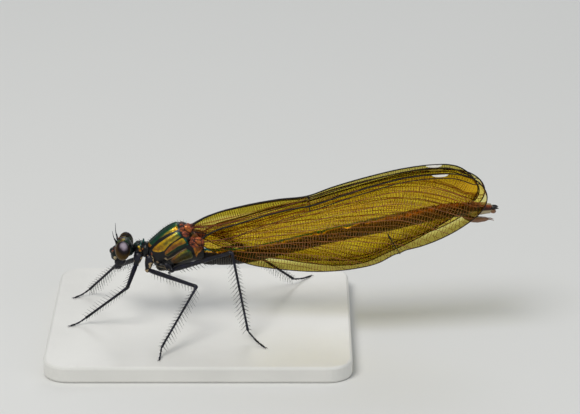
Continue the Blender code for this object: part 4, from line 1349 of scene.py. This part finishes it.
def wing_base_shells(relief):
    """The knobs that carry the wings, plated with copper."""
    shells = []
    for side, _ in SIDES:
        for pair, long_half, start, below, seed in (("forewing", 0.9, -0.45, 0.48, 3),
                                                    ("hindwing", 0.86, -0.25, 0.5, 8)):
            wing = wing_of(side, pair)
            spots = np.array((start - 1.15, start + 0.15))
            middle, ahead = wing_places(wing, spots, np.full(2, below), 0.0)
            way = Vector(ahead - middle).to_track_quat("X", "Z").to_matrix().to_4x4()
            shell = ball((0.0, 0.0, 0.0), (long_half, 0.42, 0.64), 64, 44, hue=COPPER)
            gaps = creased(shell, 8, relief * 1.6, seed)
            shell["marks"]["cover"] = 0.9 * soft_step(0.04, 0.12, gaps)
            shells.append(turned(shell, Matrix.Translation(Vector(middle)) @ way))
            shells += root_rods(wing, middle)
    return shells


def root_rods(wing, knob):
    """The thick bases of the veins, from the knob to the wing's first chord."""
    shells = []
    for depth, girth in ((0.02, 0.13), (0.35, 0.12), (0.7, 0.1), (0.98, 0.09)):
        start = chord_points(wing, np.array([0.012]), np.array([depth]), np.array([depth]))[0]
        away = knob + (start - knob) * np.array((0.25, 0.6, 0.55))
        path = smooth_path((away, (away + start) / 2.0, start), even(8))
        shells.append(rod(path, np.linspace(girth * 1.3, girth * 0.5, 8), 12, hue=COPPER,
                          cover=np.linspace(0.75, 0.1, 8)[:, None]))
    return shells


def prothorax_shells(relief):
    """The small plated ring between the head and the thorax, and the neck on both its sides."""
    rings = body_rings(PROTHORAX_SECTIONS, 46, 72)
    rings, hue, cover = plated(rings, PROTHORAX_PLATES, relief * 0.8)
    shells = [ringed(rings, hue=hue, cover=cover)]
    for _, side in SIDES:
        shells.append(ball((-7.45, 0.45 * side, 11.2), (0.32, 0.34, 0.26), hue=DEEP_GREEN,
                           cover=0.12))
    shells.append(ball((-6.8, 0.0, 11.58), (0.13, 0.5, 0.3), hue=TEAL, cover=0.6))
    shells.append(rod(((-8.6, 0.0, 10.8), (-8.2, 0.0, 10.8), (-7.7, 0.0, 10.75)),
                      (0.42, 0.36, 0.5), 20, hue=GREEN, cover=0.0))
    shells.append(rod(((-7.0, 0.0, 10.6), (-6.6, 0.0, 10.52), (-6.2, 0.0, 10.5)),
                      (0.9, 0.96, 1.0), 32, hue=GREEN, cover=0.0))
    return shells


def balls_of(table, side=1.0):
    """The balls of a table of the head, on one side of it."""
    return [ball((x, y * side, z), half, sides, rows, hue=hue, cover=shown)
            for (x, y, z), half, sides, rows, hue, shown in table]


def head_shells():
    """Crown, face and upper lip, with the three small eyes and the feelers' sockets."""
    crown = ball((-9.2, 0.0, 10.9), (1.0, 1.55, 1.08), 72, 56)
    points = crown["points"]
    cover, hue = np.zeros(len(points)), np.full(len(points), GREEN)
    for x, y, tone, shown in CROWN_PATCHES:
        near = np.hypot(points[:, 0] - x, np.abs(points[:, 1]) - y)
        patch = soft_step(0.32, 0.16, near) * (points[:, 2] > 11.2) * shown
        hue = np.where(patch > cover, tone, hue)
        cover = np.maximum(cover, patch)
    crown["marks"] = {"cover": cover, "hue": hue}
    shells = [crown] + balls_of(FACE_BALLS)
    for _, side in SIDES:
        shells += balls_of(SIDE_BALLS, side)
    return [turned(shell, yaw_of_head()) for shell in shells + balls_of(SIMPLE_EYES)]


def abdomen_places(stations):
    """Heights of the abdomen's middle line and its half heights at places along x."""
    line = smooth_path(ABDOMEN_LINE, even(200))
    heights = np.interp(stations, line[:, 0], line[:, 1])
    known_x, known_half = zip(*ABDOMEN_HALF_HEIGHT)
    return heights, np.interp(stations, known_x, known_half)


def abdomen_shell():
    """One tube whose rings narrow at each joint, with a fine ridge along the back."""
    stations = np.linspace(*ABDOMEN_ENDS, 420)
    heights, halves = abdomen_places(stations)
    joints = np.array(ABDOMEN_JOINTS)
    gaps = stations[:, None] - joints[None]
    nearest = gaps[np.arange(len(stations)), np.abs(gaps).argmin(axis=1)]
    waist = 1.0 - 0.07 * np.exp(-((nearest - 0.12) / 0.2) ** 2)
    waist += 0.03 * np.exp(-((nearest + 0.18) / 0.16) ** 2)
    last = soft_step(ABDOMEN_ENDS[1], ABDOMEN_ENDS[1] - 0.35, stations)
    turns = turns_round(48)
    ridge = 1.0 + 0.05 * np.exp(-((turns - math.pi / 2.0) / 0.12) ** 2)
    radius = (halves * waist * (0.45 + 0.55 * last))[:, None] * ridge[None]
    y = radius * np.cos(turns)[None] * ABDOMEN_WIDTH
    z = heights[:, None] + radius * np.sin(turns)[None]
    x = np.repeat(stations[:, None], len(turns), axis=1)
    around = np.abs((turns - math.pi / 2.0 + math.pi) % FULL_TURN - math.pi) / math.pi
    sides = soft_step(0.0, 0.3, around)
    seam = np.exp(-((nearest - 0.08) / 0.09) ** 2)[:, None] * (0.35 + 0.65 * sides)[None]
    back_spot = soft_step(33.25, 33.5, x) * soft_step(0.2, 0.14, around)[None]
    low_side = soft_step(31.6, 32.8, x) * soft_step(0.5, 0.58, around)[None]
    low_side = low_side * soft_step(0.86, 0.78, around)[None] * 0.8
    belly = soft_step(1.0, 1.6, x) * soft_step(7.5, 6.0, x) * soft_step(0.36, 0.5, around)[None]
    return ringed(np.stack((x, y, z), axis=-1), look=1, around=around[None], along=x / 35.0,
                  pale=np.maximum(back_spot, low_side), seam=seam, belly=belly)


# Legs

def leg_points(name):
    """The joints of a leg, with the toe on the base."""
    *joints, toe = LEG_JOINTS[name]
    sole = PLATE_TOP + bpy.context.scene.damselfly_legs.tarsus * IN_MM * 0.9
    return [np.array(place) for place in (*joints, (*toe, sole))]


def leg_shells(name):
    """One leg from the coxa to the claws."""
    legs = bpy.context.scene.damselfly_legs
    coxa, trochanter, knee, ankle, toe = leg_points(name)
    shells = [rod(smooth_path((coxa, trochanter), np.linspace(-0.15, 1.0, 9)), COXA_GIRTHS, 20,
                  flecked=1.0),
              ball(trochanter, (0.34, 0.33, 0.33), 20, 14, flecked=0.8)]
    hip = trochanter + unit(knee - trochanter) * 0.25
    for start, end, radius, places, girths, sides, keels in (
            (hip, knee, legs.femur, FEMUR_PLACES, FEMUR_GIRTHS, 16, 0.07),
            (knee, ankle, legs.tibia, TIBIA_PLACES, TIBIA_GIRTHS, 14, 0.08)):
        path = start + (end - start) * np.array(places)[:, None]
        shells.append(rod(path, np.array(girths) * (radius * IN_MM), sides, keels))
    tarsus = legs.tarsus * IN_MM
    bend = ankle + (toe - ankle) * 0.5
    bend[2] = toe[2] + (ankle[2] - toe[2]) * 0.3
    path = smooth_path((ankle, bend, toe), even(22))
    beat = np.abs((np.linspace(0.0, 3.0, 22) % 1.0) - 0.5) * 2.0
    girth = tarsus * (1.08 - 0.3 * np.exp(-((beat - 1.0) / 0.35) ** 2))
    girth[0], girth[-1] = tarsus * 0.6, tarsus * 0.5
    shells.append(rod(path, girth, 12))
    way = unit(toe - path[-4])
    level = unit(np.cross(way, (0.0, 0.0, 1.0)))
    for turn in (-1.0, 1.0):
        tip = toe + way * 0.34 + level * 0.16 * turn
        tip[2] = PLATE_TOP + 0.02
        middle = toe + way * 0.2 + level * 0.1 * turn + (0.0, 0.0, 0.05)
        claw = smooth_path((toe, middle, tip), even(7))
        shells.append(rod(claw, np.linspace(0.05, 0.012, 7), 8))
    return shells


def spun(vector, axis, angle):
    """A direction turned about an axis by an angle in degrees."""
    return np.array(Matrix.Rotation(math.radians(angle), 3, Vector(axis)) @ Vector(vector))


def bristle_rows(name):
    """Rows of bristle roots along the femur, tibia and foot, each with its lean.

    Each span has its ends, a joint off it that its inner rows face, its radius, the length of
    its bristles, where they start, and the angles of its inner and outer rows.
    """
    legs = bpy.context.scene.damselfly_legs
    _, trochanter, knee, ankle, toe = leg_points(name)
    rows = []
    spans = ((trochanter, knee, ankle, legs.femur, 0.68, 0.12, (-22, 18), ()),
             (knee, ankle, trochanter, legs.tibia, 1.0, 0.04, (-28, 14), (152, 196)),
             (ankle, toe, knee, legs.tarsus, 0.22, 0.08, (-40, 40), ()))
    number = list(LEG_JOINTS).index(name)
    for piece, (start, end, beyond, radius, reach, first, inner, outer) in enumerate(spans):
        axis = unit(end - start)
        pivot = end if piece == 0 else start
        facing = beyond - pivot if piece < 2 else np.array((0.0, 0.0, -1.0))
        facing = unit(facing - axis * np.dot(facing, axis))
        half_step = legs.bristle_spacing * IN_MM / 2.0 / np.linalg.norm(end - start)
        for angle in inner + outer:
            side = spun(facing, axis, angle)
            late = half_step * (angle in (inner + outer)[1::2])
            shares = np.linspace(first + late, 0.97, 30)
            path = start + (end - start) * shares[:, None] + side * (radius * (ROOTS_OUT * IN_MM))
            tall = reach * np.interp(shares, (0.0, 0.2, 0.7, 1.0), (0.7, 1.0, 1.0, 0.6))
            if piece == 1 and (angle in outer) != ("mid" in name):
                tall = tall * 0.55
            lean = unit(side * 0.82 + axis * 0.57)
            rows.append({"path": path, "lean": lean, "reach": tall,
                         "place_u": (piece + shares) / 3.0,
                         "place_v": np.full(30, (number + (angle % 360) / 400.0) / 6.0)})
    return rows


def hair_rows():
    """Rows of short fine hairs over the head, the prothorax and the thorax."""
    rows = []
    for part, (sections, first, last) in enumerate(((THORAX_SECTIONS, 4, 40),
                                                    (PROTHORAX_SECTIONS, 6, 50))):
        rings = body_rings(sections, 60, 72)
        normals = ring_normals(rings)
        for turn in HAIR_TURNS:
            path, lean = (grid[first:last, turn // 5] for grid in (rings, normals))
            rows.append({"path": path - lean * 0.05, "part": part, "turn": turn / 360.0,
                         "lean": unit(lean + np.array((-0.35, 0.0, 0.0)))})
    lats = np.linspace(-0.8, 0.8, 40)
    for turn in HEAD_HAIR_TURNS:
        across, upward = math.cos(math.radians(turn)), math.sin(math.radians(turn))
        lean = np.stack((np.cos(lats) * across, np.sin(lats), np.cos(lats) * upward), axis=-1)
        line = {"points": lean * (0.98, 1.53, 1.06) + (-9.2, 0.0, 10.9)}
        rows.append({"path": turned(line, yaw_of_head())["points"], "lean": lean, "part": 2,
                     "turn": turn / 360.0})
    for row in rows:
        shares = even(len(row["path"]))
        row["reach"] = np.ones(len(shares))
        row["place_u"] = (row.pop("part") + shares) / 3.0
        row["place_v"] = np.full(len(shares), row.pop("turn"))
    return rows


def lay_out_bristles(obj):
    """A UV patch for each bristle of six points, at its root's place on the unrolled rows."""
    mesh = obj.data
    count = len(mesh.vertices)
    u, v = np.zeros(count, np.float32), np.zeros(count, np.float32)
    mesh.attributes["place_u"].data.foreach_get("value", u)
    mesh.attributes["place_v"].data.foreach_get("value", v)
    corners = np.zeros(len(mesh.loops), np.int32)
    mesh.loops.foreach_get("vertex_index", corners)
    layer = mesh.uv_layers.new(name="OFBake")
    step = corners % 6
    turn = (step % 3) * FULL_TURN / 3.0
    size = np.where(step < 3, PATCH_OUTER, PATCH_INNER)
    spots = np.stack((u[corners] * 0.98 + 0.01 + np.cos(turn) * size,
                      v[corners] * 0.98 + 0.01 + np.sin(turn) * size), axis=-1)
    layer.data.foreach_set("uv", spots.astype(np.float32).ravel())


# Operators

class DAMSELFLY_OT_body(bpy.types.Operator):
    """Makes the skin of the head, thorax and abdomen"""
    bl_idname = "damselfly.body"
    bl_label = "Body skin"

    def execute(self, context):
        relief = context.scene.damselfly_body.relief * IN_MM
        shells = head_shells() + prothorax_shells(relief) + thorax_shells(relief)
        shells += wing_base_shells(relief) + [abdomen_shell()]
        piece_from_shells(
            "body_skin", shells, (cuticle_material(), abdomen_material()),
            ("head", "prothorax", "thorax", "abdomen_1_2", "abdomen_3_4", "abdomen_5_6",
             "abdomen_7_8", "abdomen_9_10"))
        return {"FINISHED"}


class DAMSELFLY_OT_eyes(bpy.types.Operator):
    """Makes the two compound eyes"""
    bl_idname = "damselfly.eyes"
    bl_label = "Eyes"

    def execute(self, context):
        look = eye_material()
        for word, side in SIDES:
            centre = (EYE_CENTRE[0], side * EYE_CENTRE[1], EYE_CENTRE[2])
            shell = ball(centre, EYE_HALF, 64, 40)
            facing = unit((shell["points"] - centre) / EYE_HALF)
            # Painted highlight: how far each point faces the upper outer side, where a reflection
            # of the sky is painted.
            shell["marks"]["cap"] = facing @ unit((0.3, 0.6 * side, 0.74)) / 2.0 + 0.5
            shell["marks"]["inner"] = soft_step(0.1, 0.6, -side * facing[:, 1])
            turned(shell, yaw_of_head())
            name = word + "_eye"
            piece_from_shells(name + "_faceted", [shell], (look,), (name,))
        return {"FINISHED"}


class DAMSELFLY_OT_mouth(bpy.types.Operator):
    """Makes the jaws, the lower lip and the two feelers"""
    bl_idname = "damselfly.mouth"
    bl_label = "Mouthparts and feelers"

    def execute(self, context):
        black = chitin_material("black_mouth", (0.008, 0.009, 0.018), 0.2)
        shells = [ball((-9.65, 0.0, 8.95), (0.68, 0.66, 0.58), 32, 22),
                  ball((-9.92, 0.0, 8.32), (0.5, 0.42, 0.38), 28, 20)]
        for _, side in SIDES:
            shells.append(ball((-9.86, 0.5 * side, 9.05), (0.42, 0.24, 0.5), 20, 14))
            path = smooth_path(((-9.75, 0.36 * side, 8.55), (-10.12, 0.4 * side, 8.2),
                                (-10.3, 0.2 * side, 8.08)), even(8))
            shells.append(rod(path, np.linspace(0.2, 0.06, 8), 12))
        shells = [turned(shell, yaw_of_head()) for shell in shells]
        piece_from_shells("jaws_and_lip", shells, (black,), ("mouthparts",))
        for word, side in SIDES:
            root = np.array((-9.95, 0.5 * side, 11.45))
            tip = np.array((-10.32, 1.4 * side, 13.3))
            bow = (root + tip) / 2.0 + np.array((-0.12, 0.04 * side, 0.05))
            shares = even(26)
            path = smooth_path((root - (tip - root) * 0.08, root, bow, tip), shares)
            girth = np.interp(shares, (0.0, 0.12, 0.2, 0.24, 0.4, 0.44, 1.0),
                              (0.14, 0.15, 0.15, 0.1, 0.1, 0.055, 0.018))
            shell = turned(rod(path, girth, 12), yaw_of_head())
            name = word + "_antenna"
            piece_from_shells(name + "_fine", [shell], (black,), (name,))
        return {"FINISHED"}


class DAMSELFLY_OT_wings(bpy.types.Operator):
    """Makes the four wings with their membranes, veins and white marks"""
    bl_idname = "damselfly.wings"
    bl_label = "Wings"

    def execute(self, context):
        wings = context.scene.damselfly_wings
        sizes = {"costa": wings.costa * IN_MM, "long": wings.long_vein * IN_MM,
                 "cross": wings.cross_vein * IN_MM, "spacing": wings.spacing * IN_MM}
        thickness = wings.thickness * IN_MM
        sheet, tree = membrane_material(), tube_tree("Vein tubes", vein_material())
        spots = []
        for seed, (side, pair) in enumerate((side, pair) for side, _ in SIDES
                                            for pair in ("forewing", "hindwing")):
            wing = wing_of(side, pair)
            name = wing["name"]
            piece_from_shells(name + "_membrane", [membrane_shell(wing, thickness)], (sheet,),
                              (name,))
            veins = grown(name + "_veins", vein_chains(wing, sizes, seed), tree,
                          {"Sides": 4, "Thickness": MM})
            add_piece(veins)
            spots.append(spot_shell(wing, thickness))
        piece_from_shells("wing_spots", spots, (spot_material(),))
        return {"FINISHED"}


class DAMSELFLY_OT_legs(bpy.types.Operator):
    """Makes the six legs with their claws"""
    bl_idname = "damselfly.legs"
    bl_label = "Legs"

    def execute(self, context):
        looks = (chitin_material("black_leg", (0.008, 0.008, 0.022), 0.18),)
        for name in LEG_JOINTS:
            nodes = [name + "_" + part for part in ("femur", "tibia", "tarsus")]
            piece_from_shells(name + "_leg", leg_shells(name), looks, nodes)
        return {"FINISHED"}


class DAMSELFLY_OT_bristles(bpy.types.Operator):
    """Sets the rows of fine bristles along the legs and the short hairs of the body"""
    bl_idname = "damselfly.bristles"
    bl_label = "Bristles and hairs"

    def execute(self, context):
        legs = context.scene.damselfly_legs
        black = chitin_material("black_bristle", (0.01, 0.009, 0.01), 0.3)
        rows = [row for name in LEG_JOINTS for row in bristle_rows(name)]
        for name, title, chains, spacing, length, radius, seed in (
                ("leg_bristles", "Bristle rows", rows, legs.bristle_spacing,
                 legs.bristle_length, legs.bristle_radius, 7),
                ("body_hairs", "Body hairs", hair_rows(), legs.hair_spacing,
                 legs.hair_length, legs.hair_radius, 11)):
            obj = grown(name, chains, bristle_tree(title, black),
                        {"Spacing": spacing, "Length": length, "Radius": radius, "Seed": seed})
            lay_out_bristles(obj)
            add_piece(obj)
        return {"FINISHED"}


class DAMSELFLY_OT_tail(bpy.types.Operator):
    """Makes the tail appendages and the egg-laying valves"""
    bl_idname = "damselfly.tail"
    bl_label = "Tail"

    def execute(self, context):
        black = chitin_material("black_cercus", (0.012, 0.009, 0.009), 0.2)
        end_x = ABDOMEN_ENDS[1]
        end_z = float(abdomen_places(np.array([end_x]))[0][0])
        shares = even(12)
        girth = np.interp(shares, (0.0, 0.3, 0.7, 1.0), (0.2, 0.18, 0.13, 0.03))
        for word, side in SIDES:
            path = smooth_path(((end_x - 0.15, side * 0.26, end_z + 0.12),
                                (end_x + 0.35, side * 0.36, end_z + 0.16),
                                (end_x + 0.68, side * 0.33, end_z + 0.08)), shares)
            name = word + "_cercus"
            piece_from_shells(name + "_tapered", [rod(path, girth, 14)], (black,),
                              (name,))
        stations = np.linspace(31.2, 34.35, 16)
        heights, halves = abdomen_places(stations)
        low = heights - halves - np.interp(stations, (31.2, 32.4, 34.35), (-0.1, 0.5, 0.72))
        girth = np.interp(even(16), (0.0, 0.15, 0.6, 0.9, 1.0),
                          (0.12, 0.3, 0.34, 0.22, 0.08))
        shells = []
        for _, side in SIDES:
            path = np.stack((stations, np.full(16, 0.16 * side), low), axis=-1)
            stylus = np.array(((34.1, 0.2 * side, low[-1]), (34.6, 0.22 * side, low[-1] + 0.02),
                               (35.0, 0.24 * side, low[-1] - 0.12)))
            shells += [rod(path, girth, 14), rod(stylus, (0.08, 0.06, 0.03), 10),
                       ball((end_x + 0.05, 0.24 * side, end_z - 0.3), (0.34, 0.24, 0.26), 20, 14)]
        piece_from_shells("egg_valves", shells, (copper_material(),),
                          ("ovipositor",))
        return {"FINISHED"}


class DAMSELFLY_OT_base(bpy.types.Operator):
    """Gives the display base its satin acrylic"""
    bl_idname = "damselfly.base"
    bl_label = "Display base"

    def execute(self, context):
        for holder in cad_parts["stand_base"].material_slots:
            holder.material = acrylic_material()
        return {"FINISHED"}


def soft_light(name, place, size, power, colour):
    """A round light that looks at the model."""
    data = bpy.data.lights.new(name, "AREA")
    data.shape = "DISK"
    data.size = size
    data.energy = power
    data.color = colour
    obj = new_object(name, data)
    obj.location = place
    obj.rotation_euler = (Vector(LIGHT_AIM) - Vector(place)).to_track_quat("-Z", "Y").to_euler()


class DAMSELFLY_OT_stage(bpy.types.Operator):
    """Makes the pale floor, the soft studio light and the camera"""
    bl_idname = "damselfly.stage"
    bl_label = "Stage"

    def execute(self, context):
        scene = context.scene
        stage = scene.damselfly_stage
        mesh = bpy.data.meshes.new("floor")
        corners = [(x * FLOOR_HALF, y * FLOOR_HALF, 0.0)
                   for x, y in ((-1, -1), (1, -1), (1, 1), (-1, 1))]
        mesh.from_pydata(corners, [], [(0, 1, 2, 3)])
        mesh.materials.append(floor_material())
        new_object("floor", mesh)
        soft_light("key", (-0.16, -0.2, 0.42), 0.26, stage.key_light, (1.0, 0.98, 0.95))
        soft_light("fill", (0.38, -0.3, 0.2), 0.4, stage.fill_light, (0.95, 0.97, 1.0))
        soft_light("rim", (0.05, 0.42, 0.3), 0.3, stage.fill_light, (1.0, 1.0, 1.0))
        world = bpy.data.worlds.new("soft room")
        world.use_nodes = True
        sky = world.node_tree.nodes["Background"]
        sky.inputs["Color"].default_value = (0.9, 0.95, 1.0, 1.0)
        sky.inputs["Strength"].default_value = 0.34
        scene.world = world
        scene.view_settings.view_transform = "Standard"
        scene.cycles.transparent_max_bounces = 32
        lens = bpy.data.cameras.new("camera")
        lens.sensor_width = 36.0
        lens.lens = CAMERA_LENS
        lens.clip_start = 0.01
        camera = new_object("camera", lens)
        camera.location = CAMERA_PLACE
        camera.rotation_euler = (CAMERA_TILT, 0.0, 0.0)
        scene.camera = camera
        return {"FINISHED"}


class DAMSELFLY_PT_panel(bpy.types.Panel):
    """Sizes, colours and pieces of the damselfly"""
    bl_label = "Damselfly"
    bl_idname = "DAMSELFLY_PT_panel"
    bl_space_type = "VIEW_3D"
    bl_region_type = "UI"
    bl_category = "Damselfly"

    def draw(self, context):
        for group in SETTINGS:
            box = self.layout.box()
            settings = getattr(context.scene, group)
            for name in type(settings).__annotations__:
                box.prop(settings, name)
        for operator in OPERATORS:
            self.layout.operator(operator.bl_idname)


SETTINGS = {
    "damselfly_wings": DamselflyWingSettings,
    "damselfly_body": DamselflyBodySettings,
    "damselfly_legs": DamselflyLegSettings,
    "damselfly_stage": DamselflyStageSettings,
}
OPERATORS = (
    DAMSELFLY_OT_stage, DAMSELFLY_OT_body, DAMSELFLY_OT_eyes, DAMSELFLY_OT_mouth,
    DAMSELFLY_OT_wings, DAMSELFLY_OT_legs, DAMSELFLY_OT_bristles, DAMSELFLY_OT_tail,
    DAMSELFLY_OT_base,
)


def register():
    """Adds the settings, the operators and the panel."""
    for group, settings in SETTINGS.items():
        bpy.utils.register_class(settings)
        setattr(bpy.types.Scene, group, PointerProperty(type=settings))
    for item in OPERATORS + (DAMSELFLY_PT_panel,):
        bpy.utils.register_class(item)


def unregister():
    """Takes them away again."""
    for item in reversed(OPERATORS + (DAMSELFLY_PT_panel,)):
        bpy.utils.unregister_class(item)
    for group, settings in SETTINGS.items():
        delattr(bpy.types.Scene, group)
        bpy.utils.unregister_class(settings)


def main():
    """Makes every piece."""
    register()
    for operator in OPERATORS:
        group, name = operator.bl_idname.split(".")
        getattr(getattr(bpy.ops, group), name)()


if __name__ == "__main__":
    main()
